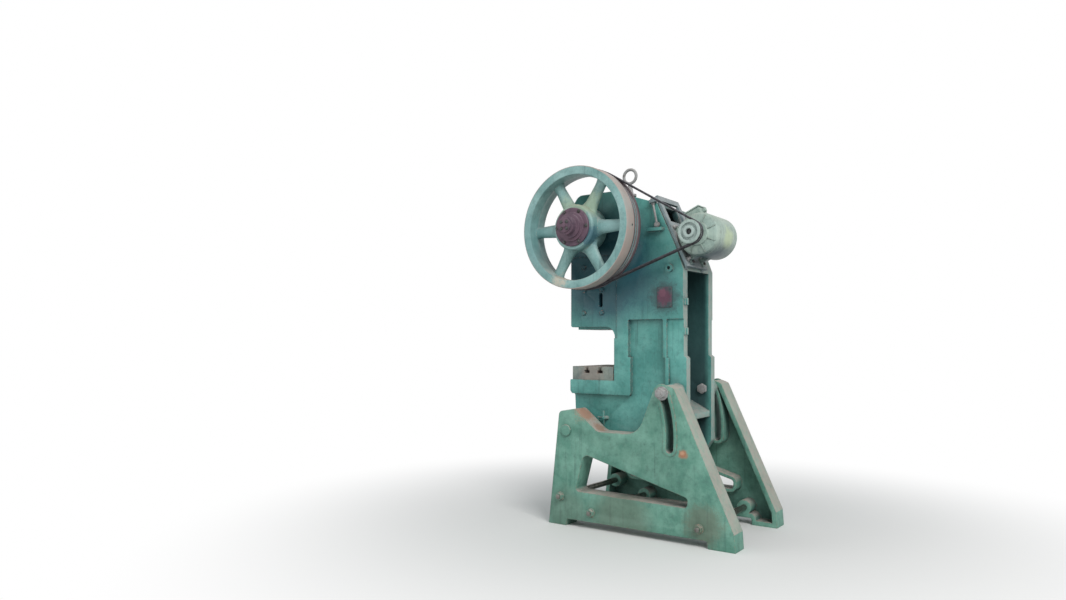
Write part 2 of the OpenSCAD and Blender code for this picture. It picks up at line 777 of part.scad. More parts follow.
module crank_end_nut() {
  color(dark_steel) difference() {
    rod_x(hub_front + face_gap, hub_front + 20, crank_y, crank_z, crank_end_d / 2 + 9, 6);
    rod_x(hub_front - 1, hub_front + 30, crank_y, crank_z, crank_end_d / 2 + run_gap);
  }
}

module brake_drum() {
  color(rust) mirror([1, 0, 0]) spin_x(crank_y, crank_z) polygon([
    [crank_end_d / 2 + run_gap, boss_x + face_gap], [crank_end_d / 2 + 30, boss_x + face_gap],
    [crank_end_d / 2 + 30, drum_x + 20], [drum_d / 2 - 14, drum_x + 20], [drum_d / 2 - 14, drum_x],
    [drum_d / 2, drum_x], [drum_d / 2, drum_x + drum_w], [drum_d / 2 - 14, drum_x + drum_w],
    [drum_d / 2 - 14, drum_x + 36], [crank_end_d / 2 + 24, drum_x + 36],
    [crank_end_d / 2 + 24, drum_x + drum_w + 6], [crank_end_d / 2 + run_gap, drum_x + drum_w + 6]
  ]);
}
lining_r = drum_d / 2 + face_gap;
band_r = lining_r + lining_t;
module open_ring(r0, r1, gap) {
  difference() {
    mirror([1, 0, 0]) rod_x(drum_x + 6, drum_x + drum_w - 6, crank_y, crank_z, r1, 128);
    mirror([1, 0, 0]) rod_x(drum_x, drum_x + drum_w, crank_y, crank_z, r0, 128);
    block(-drum_x - drum_w, -drum_x, crank_y, crank_y + 400, crank_z - gap, crank_z + gap);
  }
}
module brake_lining() {
  color([0.35, 0.28, 0.2]) open_ring(lining_r, band_r, 26);
}
module brake_band() {
  x0 = -drum_x - drum_w + 6;
  x1 = -drum_x - 6;
  y0 = crank_y + band_r;
  color(steel) union() {
    open_ring(band_r, band_r + band_t, 22);
    for (z = [-30, 22]) block(x0, x1, y0, y0 + 42, crank_z + z, crank_z + z + 8);
    translate([(x0 + x1) / 2, y0 + 24, crank_z - 44]) cylinder(h = 92, r = 8, $fn = 24);
  }
}

// Bracket on the left cheek that holds the brake band's lower lug
module brake_bracket() {
  y0 = crank_y + band_r - 4;
  z1 = crank_z - 44;
  color(paint) {
    block(-drum_x - drum_w + 6, -cheek_out, y0 + 8, y0 + 46, z1 - 26, z1);
    block(-cheek_out - 14, -cheek_out, y0 - 12, y0 + 66, z1 - 60, z1 + 20);
  }
}

// Connecting rod, split at the crankpin, with a threaded socket for the adjusting screw
module rod_half_profile(sign_z) {
  intersection() {
    union() {
      circle(r = big_end_r);
      translate([-rod_ear_y, -38]) square([2 * rod_ear_y, 76]);
    }
    translate([-big, sign_z > 0 ? 0 : -big]) square([2 * big, big]);
  }
}
module connecting_rod() {
  color(steel) difference() {
    union() {
      across(-rod_half, rod_half) translate([crank_y, pin_z]) rod_half_profile(-1);
      translate([0, crank_y, rod_end_z]) cylinder(h = pin_z - rod_end_z - 50, d = shank_d);
      across(-rod_half * 0.6, rod_half * 0.6) translate([crank_y, pin_z]) polygon([
        [-big_end_r + 8, -40], [-shank_d / 2 + 4, -190], [shank_d / 2 - 4, -190], [big_end_r - 8, -40]
      ]);
    }
    rod_x(-rod_half - 1, rod_half + 1, crank_y, pin_z, rod_bore_r);
    translate([0, crank_y, rod_end_z - 1]) cylinder(h = 162, d = screw_d + 2 * run_gap);
    rod_bolt_places() translate([0, 0, -74]) cylinder(h = 75, d = 20 + 2 * run_gap, $fn = 24);
  }
}
module rod_bolt_places() {
  for (x = [-1, 1] * rod_half * 0.55) for (y = [-1, 1] * rod_bolt_y)
    translate([x, crank_y + y, pin_z + 38]) children();
}
module rod_cap() {
  color(steel) difference() {
    across(-rod_half, rod_half) translate([crank_y, pin_z]) rod_half_profile(1);
    rod_x(-rod_half - 1, rod_half + 1, crank_y, pin_z, rod_bore_r);
    rod_bolt_places() translate([0, 0, -50]) cylinder(h = 51, r = 10 + bolt_gap, $fn = 24);
    rod_bolt_places() cylinder(h = 60, r = 19, $fn = 24);
  }
}
module rod_bolts() {
  color(dark_steel) rod_bolt_places() bolt(20, 70);
}
module rod_bush() {
  color(bronze) spin_x(crank_y, pin_z) polygon([
    [crankpin_d / 2 + run_gap, -rod_half], [rod_bore_r - run_gap, -rod_half],
    [rod_bore_r - run_gap, rod_half], [crankpin_d / 2 + run_gap, rod_half]
  ]);
}
module lock_nut() {
  color(dark_steel) translate([0, crank_y, rod_end_z - 26]) difference() {
    cylinder(h = 26, r = shank_d / 2 - 3, $fn = 6);
    translate([0, 0, -1]) cylinder(h = 28, d = screw_d + 2 * run_gap);
  }
}
module adjusting_screw() {
  color(steel) translate([0, crank_y, 0]) {
    translate([0, 0, ball_z + 80]) cylinder(h = rod_end_z + 136 - ball_z - 80, d = screw_d);
    translate([0, 0, ball_z + 52]) cylinder(h = 30, r = shank_d / 2 - 5, $fn = 6);
    translate([0, 0, ball_z + 30]) cylinder(h = 24, d = 0.66 * ball_d);
    translate([0, 0, ball_z]) sphere(d = ball_d, $fn = 64);
  }
}

// Slide with V grooves, a deep open pocket for the rod's end and the tool shank hole
module slide() {
  half = gib_x - slide_gap;
  color(paint) difference() {
    union() {
      translate([0, crank_y, slide_z]) linear_extrude(slide_h) polygon([
        [-half, -slide_d / 2], [half, -slide_d / 2],
        [half, -vee_half - slide_gap], [half - vee_in, 0], [half, vee_half + slide_gap],
        [half, slide_d / 2], [-half, slide_d / 2],
        [-half, vee_half + slide_gap], [vee_in - half, 0], [-half, -vee_half - slide_gap]
      ]);
      block(-cheek_in + 8, cheek_in - 8, crank_y - slide_d / 2 - 30, crank_y + slide_d / 2 + 4,
        slide_z, slide_z + flange_h);
    }
    block(-pocket_x, pocket_x, crank_y - pocket_y, crank_y + pocket_y, seat_top - seat_t, slide_top + 1);
    translate([0, crank_y, slide_z - 1]) cylinder(h = tool_h + 1, d = tool_d);
    translate([0, crank_y - slide_d / 2 - 31, slide_z + 22]) rotate([-90, 0, 0])
      cylinder(h = slide_d / 2 + 31, r = 8 + run_gap, $fn = 24);
    for (x = [-1, 1] * 130) for (y = [-1, 1] * 90)
      translate([x, crank_y + y, slide_z - 1]) cylinder(h = flange_h + 2, r = 9, $fn = 24);
  }
}
module ball_seat() {
  color(bronze) translate([0, crank_y, seat_top - seat_t]) difference() {
    cylinder(h = seat_t, r = pocket_x - 3);
    translate([0, 0, seat_t + ball_d / 2 - 12]) sphere(d = ball_d + 2 * face_gap, $fn = 64);
  }
}
module shank_screw() {
  y0 = crank_y - slide_d / 2 - 30;
  color(dark_steel) translate([0, y0, slide_z + 22]) rotate([-90, 0, 0]) {
    translate([0, 0, -1]) cylinder(h = slide_d / 2 + 30 - tool_d / 2, r = 8, $fn = 24);
    translate([-10, -10, -18]) cube([20, 20, 18]);
  }
}

// Flywheel: grooved rim, six oval spokes, hub with two bushes
function groove(r, x) =
  let (mouth = belt_w / 2 - belt_out * tan(belt_slant) + face_gap / cos(belt_slant))
  let (foot = mouth - groove_h * tan(belt_slant))
  [[r, x - mouth], [r - groove_h, x - foot], [r - groove_h, x + foot], [r, x + mouth]];
module wheel_rim() {
  spin_x(crank_y, crank_z) polygon(concat(
    [[rim_inner + 14, wheel_x], [wheel_r - 3, wheel_x], [wheel_r, wheel_x + 3]],
    [for (i = [0:belt_count - 1]) each groove(wheel_r, belt_x + i * belt_pitch)],
    [[wheel_r, rim_front - 5], [wheel_r - 5, rim_front], [rim_inner + 4, rim_front],
     [rim_inner, rim_front - 5], [rim_inner, wheel_x + rim_w * 0.55],
     [rim_inner + 14, wheel_x + rim_w * 0.5 - 5]]
  ));
}
module spoke() {
  mid = wheel_x + rim_w / 2;
  hull() {
    translate([mid, 0, hub_d / 2 - 16]) scale([0.6, 1, 1]) cylinder(h = 1, d = spoke_w, $fn = 32);
    translate([mid, 0, rim_inner + 8]) scale([0.62, 1, 1]) cylinder(h = 1, d = spoke_w * 0.72, $fn = 32);
  }
}
module flywheel() {
  color(wheel_paint) difference() {
    union() {
      wheel_rim();
      for (i = [0:spoke_count - 1]) translate([0, crank_y, crank_z])
        rotate([90 + i * 360 / spoke_count, 0, 0]) spoke();
      spin_x(crank_y, crank_z) polygon([
        [wheel_bush_r, wheel_x], [hub_d / 2 - 6, wheel_x], [hub_d / 2, wheel_x + 6],
        [hub_d / 2, hub_front - 18], [hub_d / 2 - 10, hub_front], [wheel_bush_r, hub_front]
      ]);
    }
    translate([wheel_x + rim_w * 0.62, crank_y + wheel_r - 22, crank_z - 12]) rotate([-90, 0, 0])
      cylinder(h = 40, r = 10, $fn = 24);
    hub_bolt_places() translate([0, 0, -40]) cylinder(h = 41, r = 6 + run_gap, $fn = 24);
  }
}
module flywheel_bushes() {
  color(bronze) for (x = [wheel_x, hub_front - 64]) spin_x(crank_y, crank_z) polygon([
    [crank_end_d / 2 + run_gap, x], [wheel_bush_r - run_gap, x],
    [wheel_bush_r - run_gap, x + 64], [crank_end_d / 2 + run_gap, x + 64]
  ]);
}

// Hub cap turned in steps, over the crank's end nut
cap_flange = 18;
cap_front_x = hub_front + 106;
module hub_cap() {
  cavity = crank_end_d / 2 + 15;
  r = cap_d / 2;
  steps = [
    [cavity, 0], [r, 0], [r, cap_flange - 4], [r - 4, cap_flange], [r - 29, cap_flange], [r - 30, 29],
    [r - 45, 30], [r - 46, 51], [r - 65, 52], [r - 66, 91], [r - 79, 92], [r - 80, 105], [16, 106],
    [15, 112], [0, 112], [0, 34], [cavity, 34]
  ];
  color(rust) difference() {
    spin_x(crank_y, crank_z) polygon([for (p = steps) [p[0], hub_front + p[1]]]);
    hub_bolt_places() translate([0, 0, -1]) cylinder(h = cap_flange + 2, r = 6 + bolt_gap, $fn = 24);
    cap_front_places() translate([0, 0, -30]) cylinder(h = 31, r = 5 + run_gap, $fn = 24);
  }
}
module hub_bolt_places() {
  for (a = [30:60:330]) translate([hub_front, crank_y, crank_z]) rotate([a, 0, 0])
    translate([0, 0, cap_d / 2 - 14]) rotate([0, 90, 0]) children();
}
module cap_front_places() {
  for (a = [45:90:315]) translate([cap_front_x, crank_y, crank_z]) rotate([a, 0, 0])
    translate([0, 0, 30]) rotate([0, 90, 0]) children();
}
module hub_cap_bolts() {
  color(dark_steel) {
    hub_bolt_places() translate([0, 0, cap_flange]) {
      translate([0, 0, -48]) cylinder(h = 49, r = 6, $fn = 24);
      cylinder(h = 8, r = 10, $fn = 6);
    }
    cap_front_places() bolt(10, 28);
  }
}

// Motor seat: everything here is placed on the sloping rear of the crown.
// On it, X stays across, the second axis goes down the slope and the third away from it.
module on_slope() {
  translate([0, shoulder_y, shoulder_z]) rotate([-slope, 0, 0]) children();
}
barrel_end = cheek_out - 34;
plate_x = [barrel_end - barrel_l - 30, barrel_end + 30];
bracket_x = [barrel_end - barrel_l - 14, barrel_end - 20];
window_low = 165;
window_high = plate_up - 38;
rear_window_up = window_high - 27;
module motor_brackets() {
  shoulder = [shoulder_y, shoulder_z];
  top = shoulder + up * (window_high - 12);
  foot = shoulder - up * plate_down + out * plate_gap;
  color(paint) for (x = bracket_x) difference() {
    across(x, x + bracket_t) polygon([
      top, top + out * plate_gap, foot, [column_y, knee_z - 12], [column_y, knee_z], shoulder
    ]);
    studs() translate([0, 0, -60]) cylinder(h = 100, d = 16 + 2 * bolt_gap, $fn = 24);
  }
}
module studs() {
  for (x = bracket_x) for (y = [-high_stud, low_stud])
    on_slope() translate([x + bracket_t / 2, y, 0]) children();
}
module motor_plate() {
  width = plate_x[1] - plate_x[0];
  color(paint) difference() {
    union() {
      on_slope() translate([plate_x[0], -plate_up, plate_gap]) cube([width, plate_up + plate_down, plate_t]);
      on_slope() translate([plate_x[1] - 1, -ear_up - 10, plate_gap])
        cube([adjuster_x + 22 - plate_x[1] + 1, 20, plate_t]);
      on_adjuster() translate([cheek_out + 3 - adjuster_x, -15, ear_reach - 10])
        cube([adjuster_x - cheek_out + 19, 44, 20]);
    }
    on_slope() translate([plate_x[0] + 40, -window_high, plate_gap - 1])
      cube([width - 80, window_high - window_low, plate_t + 2]);
    studs() cylinder(h = 90, d = 16 + 2 * bolt_gap, $fn = 24);
    on_adjuster() translate([0, 0, ear_reach - 12]) cylinder(h = 24, r = adjuster_r + bolt_gap, $fn = 24);
  }
}
module plate_studs() {
  color(dark_steel) studs() {
    translate([0, 0, -shell_t]) cylinder(h = shell_t + plate_gap + plate_t + 26, d = 16, $fn = 24);
    translate([0, 0, plate_gap + plate_t]) cylinder(h = 13, r = 14, $fn = 6);
  }
}

// Belt adjuster: an eye bolt that swings on a pin in the right cheek and, with a nut on each
// side of the plate's ear, draws the motor plate up the slope to stretch the belts
adjuster_x = cheek_out + 20;
adjuster_at = [brow_y + 13, crank_z];
adjuster_r = 7;
pin_in = 24;
ear_up = plate_up - 30;
ear_at = [shoulder_y, shoulder_z] + up * ear_up - out * 14;
ear_reach = norm(ear_at - adjuster_at);
adjuster_lean = atan2(adjuster_at[0] - ear_at[0], ear_at[1] - adjuster_at[1]);
module on_adjuster() {
  translate([adjuster_x, adjuster_at[0], adjuster_at[1]]) rotate([adjuster_lean, 0, 0]) children();
}
module adjuster_ledge() {
  z = adjuster_at[1] - 18;
  block(cheek_out - 1, cheek_out + 36, adjuster_at[0] - 67, adjuster_at[0] + 38, z - 22, z);
}
module belt_adjusters() {
  pin_r = adjuster_r + 1;
  color(steel) {
    union() {
      rod_x(cheek_out - pin_in + 2, adjuster_x + 9, adjuster_at[0], adjuster_at[1], pin_r, 24);
      rod_x(adjuster_x + 8 + face_gap, adjuster_x + 15, adjuster_at[0], adjuster_at[1], pin_r + 4, 24);
    }
    on_adjuster() difference() {
      union() {
        rotate([0, 90, 0]) translate([0, 0, -8]) cylinder(h = 16, r = 17, $fn = 32);
        translate([0, 0, 12]) cylinder(h = ear_reach + 24, r = adjuster_r, $fn = 24);
      }
      rotate([0, 90, 0]) translate([0, 0, -9]) cylinder(h = 18, r = pin_r + run_gap, $fn = 24);
    }
    on_adjuster() for (z = [ear_reach - 20, ear_reach + 10]) translate([0, 0, z]) difference() {
      cylinder(h = 10, r = 12, $fn = 6);
      translate([0, 0, -1]) cylinder(h = 12, r = adjuster_r + run_gap, $fn = 24);
    }
  }
}

module motor_place() {
  translate([0, motor_at[0], motor_at[1]]) rotate([-motor_lean, 0, 0]) children();
}
module motor_body() {
  color(motor_paint) motor_place() difference() {
    union() {
      rotate([0, 90, 0]) translate([0, 0, barrel_end - barrel_l])
        cylinder(h = barrel_l, d = barrel_d, $fn = 128);
      for (x = [barrel_end - 60, barrel_end - barrel_l + 20]) for (s = [-1, 1])
        translate([x, s * (foot_bolt_y - 10) - 27, -motor_h]) cube([40, 54, 16]);
      for (x = [barrel_end - 60, barrel_end - barrel_l + 20]) for (s = [-1, 1])
        translate([x, s * (foot_bolt_y - 22) - 13, -motor_h + 15]) cube([40, 26, 60]);
    }
    for (x = [barrel_end - 40, barrel_end - barrel_l + 40]) for (s = [-1, 1])
      translate([x, s * foot_bolt_y, -motor_h - 1]) cylinder(h = 18, r = 6 + bolt_gap, $fn = 24);
    rotate([0, 90, 0]) translate([0, 0, barrel_end - barrel_l - 1])
      cylinder(h = barrel_l + 2, d = barrel_d - 40);
  }
}
module motor_feet_bolts() {
  color(dark_steel) motor_place() for (x = [barrel_end - 40, barrel_end - barrel_l + 40]) for (s = [-1, 1])
    translate([x, s * foot_bolt_y, -motor_h + 16]) {
      translate([0, 0, -16]) cylinder(h = 17, r = 6, $fn = 24);
      cylinder(h = 8, r = 10, $fn = 6);
    }
}
shield_l = 56;
module shield(x, way) {
  r = barrel_d / 2;
  b = motor_shaft_d / 2 + run_gap;
  translate([x, 0, 0]) rotate([0, 90 * way, 0]) rotate_extrude($fn = 128) polygon([
    [b, 14], [r - 24, 14], [r - 24, 0], [r, 0], [r, 12], [r - 10, 30], [r - 40, shield_l - 14],
    [r - 62, shield_l - 10], [r - 64, shield_l], [b, shield_l]
  ]);
}
module end_shields() {
  color(motor_paint) motor_place() {
    shield(barrel_end, 1);
    shield(barrel_end - barrel_l, -1);
  }
}
module terminal_box() {
  z = -barrel_d / 2;
  color(motor_paint) motor_place() difference() {
    union() {
      translate([barrel_end - 150, z - 46, -48]) cube([110, 76, 96]);
      translate([barrel_end - 156, z - 52, -54]) cube([122, 8, 108]);
      translate([barrel_end - 95, z - 20, 44]) cylinder(h = 24, r = 14, $fn = 32);
    }
    rotate([0, 90, 0]) cylinder(h = big, d = barrel_d + 0.1, $fn = 128);
  }
}

// Rotor: the shaft with its fan end and the pulley on the belt side
pulley_end = belt_x + (belt_count - 1) * belt_pitch + 15;
module motor_shaft() {
  tail = barrel_end - barrel_l - shield_l + 6;
  color(steel) motor_place() rotate([0, 90, 0]) {
    translate([0, 0, tail]) cylinder(h = pulley_end - 10 - tail, d = motor_shaft_d, $fn = 48);
    translate([0, 0, barrel_end - barrel_l + 18]) cylinder(h = barrel_l - 36, d = barrel_d - 60);
  }
}
pulley_r = pulley_d / 2 + belt_out;
module motor_pulley() {
  x0 = belt_x - 15;
  x1 = pulley_end;
  b = motor_shaft_d / 2 + run_gap;
  color(motor_paint) spin_x(motor_at[0], motor_at[1]) polygon(concat(
    [[b, x0 - 8], [b + 16, x0 - 8], [b + 18, x0], [pulley_r, x0]],
    [for (i = [0:belt_count - 1]) each groove(pulley_r, belt_x + i * belt_pitch)],
    [[pulley_r, x1], [pulley_r - 18, x1], [pulley_r - 20, x1 - 12], [b + 18, x1 - 12],
     [b + 16, x1 + 6], [b, x1 + 6]]
  ));
}

// V-belts: two wrapped arcs and two straight runs of one wedge section.
// The outer radii stand a little proud of the grooves.
belt_far = motor_at - [crank_y, crank_z];
belt_len = norm(belt_far);
belt_dir = atan2(belt_far[1], belt_far[0]);
belt_big = wheel_r + belt_out;
belt_small = pulley_r + belt_out;
belt_open = asin((belt_big - belt_small) / belt_len);
module belt_section() {
  polygon([
    [-belt_h, -belt_foot / 2], [0, -belt_w / 2], [0, belt_w / 2], [-belt_h, belt_foot / 2]
  ]);
}
module belt_arc(at, r, from, sweep) {
  translate([0, at[0], at[1]]) rotate([from, 0, 0]) rotate([90, 0, 90])
    rotate_extrude(angle = sweep, $fn = 128) translate([r, 0]) belt_section();
}
module belt_run(side) {
  start = belt_dir + side * (90 - belt_open);
  length = belt_len * cos(belt_open);
  lift = side > 0 ? 0 : 1;
  translate([0, crank_y, crank_z]) rotate([start, 0, 0]) rotate([90, 0, 90])
    translate([belt_big, lift * length - (1 - lift) * length + (lift > 0 ? -length : 0), 0])
      rotate([-90, 0, 0]) mirror([0, 1, 0]) linear_extrude(length) belt_section();
}
module v_belts() {
  half = 90 - belt_open;
  color(rubber) for (i = [0:belt_count - 1]) translate([belt_x + i * belt_pitch, 0, 0]) {
    belt_arc([crank_y, crank_z], belt_big, belt_dir + half, 360 - 2 * half);
    belt_arc(motor_at, belt_small, belt_dir - half, 2 * half);
    belt_run(1);
    belt_run(-1);
  }
}

// Clamp bolts of the tilt, through the frame's bosses and the arc slots
module tilt_clamp_bolts() {
  x = leg_outer_x + slot_pad + face_gap;
  color(dark_steel) both() {
    rod_x(cheek_in - 22, cheek_in, clamp_y, clamp_z, clamp_d / 2 + 14, 6);
    rod_x(cheek_in - 1, x + 50, clamp_y, clamp_z, clamp_d / 2);
    rod_x(x, x + 9, clamp_y, clamp_z, clamp_d / 2 + 22);
    rod_x(x + 8, x + 40, clamp_y, clamp_z, clamp_d / 2 + 13, 6);
  }
}

leg_right();
leg_left();
leg_tie_rods();
tie_rod_nuts();
pivot_pins();
frame();
tilt_clamp_bolts();
bearing_caps();
bearing_cap_bolts();
main_bushes();
bolster();
bolster_bolts();
gibs();
gib_bolts();
side_cover();
rear_lugs();
drain_cock();
cock_handle();
lifting_eye();
grease_cups();
crankshaft();
clutch_collar();
crank_end_nut();
brake_drum();
brake_lining();
brake_band();
brake_bracket();
connecting_rod();
rod_cap();
rod_bolts();
rod_bush();
lock_nut();
adjusting_screw();
slide();
ball_seat();
shank_screw();
flywheel();
flywheel_bushes();
hub_cap();
hub_cap_bolts();
motor_brackets();
motor_plate();
plate_studs();
belt_adjusters();
motor_body();
end_shields();
terminal_box();
motor_feet_bolts();
motor_shaft();
motor_pulley();
v_belts();
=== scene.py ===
import bpy
import bmesh
import json
import math
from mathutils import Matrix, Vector

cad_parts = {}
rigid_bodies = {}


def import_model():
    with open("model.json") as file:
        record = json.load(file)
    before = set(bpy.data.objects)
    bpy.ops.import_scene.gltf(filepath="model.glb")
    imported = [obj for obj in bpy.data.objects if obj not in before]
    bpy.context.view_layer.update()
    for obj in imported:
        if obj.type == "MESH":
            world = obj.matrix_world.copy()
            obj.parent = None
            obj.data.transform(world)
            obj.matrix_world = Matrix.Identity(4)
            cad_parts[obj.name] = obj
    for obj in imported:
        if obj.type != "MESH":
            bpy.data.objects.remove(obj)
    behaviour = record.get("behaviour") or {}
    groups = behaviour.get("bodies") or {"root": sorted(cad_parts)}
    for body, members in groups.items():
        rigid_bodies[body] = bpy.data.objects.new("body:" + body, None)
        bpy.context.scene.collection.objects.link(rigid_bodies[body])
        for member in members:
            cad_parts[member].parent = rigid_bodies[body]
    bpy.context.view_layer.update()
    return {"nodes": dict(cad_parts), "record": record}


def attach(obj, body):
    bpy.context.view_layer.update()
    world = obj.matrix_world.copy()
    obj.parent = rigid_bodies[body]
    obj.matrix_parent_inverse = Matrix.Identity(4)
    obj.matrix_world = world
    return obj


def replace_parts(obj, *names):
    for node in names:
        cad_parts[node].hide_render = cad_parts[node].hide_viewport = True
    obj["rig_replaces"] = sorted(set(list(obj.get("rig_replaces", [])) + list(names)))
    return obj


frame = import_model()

nodes = frame["nodes"]
bodies = frame["record"]["behaviour"]["bodies"]
bodyOf = {name: body for body, names in bodies.items() for name in names}
slotOf = {part["node"]: part["material_slot"] for part in frame["record"]["subparts"]}


# The lens shift puts the horizon where the photograph has it
photoCamera = {
    "place": (4.60, 2.253, 1.205),
    "turn": 126.0,             # degrees from +Y towards -X
    "focalPixels": 760.0,
    "imageWidth": 1066.0,
    "horizonDrop": 42.0,       # pixels below the middle of the picture
    "sensorMm": 36.0,
}


def addCamera(spec):
    data = bpy.data.cameras.new("photoCamera")
    data.sensor_width = spec["sensorMm"]
    data.lens = spec["focalPixels"] / spec["imageWidth"] * data.sensor_width
    data.shift_y = spec["horizonDrop"] / spec["imageWidth"]
    camera = bpy.data.objects.new("photoCamera", data)
    camera.location = spec["place"]
    camera.rotation_euler = (math.radians(90), 0, math.radians(spec["turn"]))
    bpy.context.collection.objects.link(camera)
    bpy.context.scene.camera = camera


addCamera(photoCamera)
print("camera placed")


# Nodes
def linear(hexColour):
    channels = [int(hexColour[i:i + 2], 16) / 255 for i in (1, 3, 5)]
    return tuple(c / 12.92 if c <= 0.04045 else ((c + 0.055) / 1.055) ** 2.4
                 for c in channels) + (1.0,)


# Inputs are a list in the order of the sockets, or a dictionary by name or number. Each is a
# node, a socket, a list of them for a socket that takes many, a hex colour or a plain value.
def put(tree, kind, inputs=(), **settings):
    node = tree.nodes.new(kind)
    for key, value in settings.items():
        setattr(node, key, value)
    for key, sources in inputs.items() if isinstance(inputs, dict) else enumerate(inputs):
        for source in sources if isinstance(sources, list) else [sources]:
            if isinstance(source, bpy.types.Node):
                source = next(socket for socket in source.outputs if socket.enabled)
            if isinstance(source, bpy.types.NodeSocket):
                tree.links.new(source, node.inputs[key])
            elif isinstance(source, str) and source.startswith("#"):
                node.inputs[key].default_value = linear(source)
            else:
                node.inputs[key].default_value = source
    return node


def blankMaterial(name):
    material = bpy.data.materials.new(name)
    material.use_nodes = True
    material.node_tree.nodes.clear()
    return material, material.node_tree


shaderRays = 4                 # for each corner and edge lookup of a material


# How far the rounded normal turns from the true one shows where an edge is
def roundedEdges(tree, widthMm):
    rounded = put(tree, "ShaderNodeBevel", {"Radius": widthMm / 1000}, samples=shaderRays)
    trueNormal = put(tree, "ShaderNodeNewGeometry").outputs["Normal"]
    agreement = put(tree, "ShaderNodeVectorMath", [rounded, trueNormal], operation="DOT_PRODUCT")
    return rounded, agreement


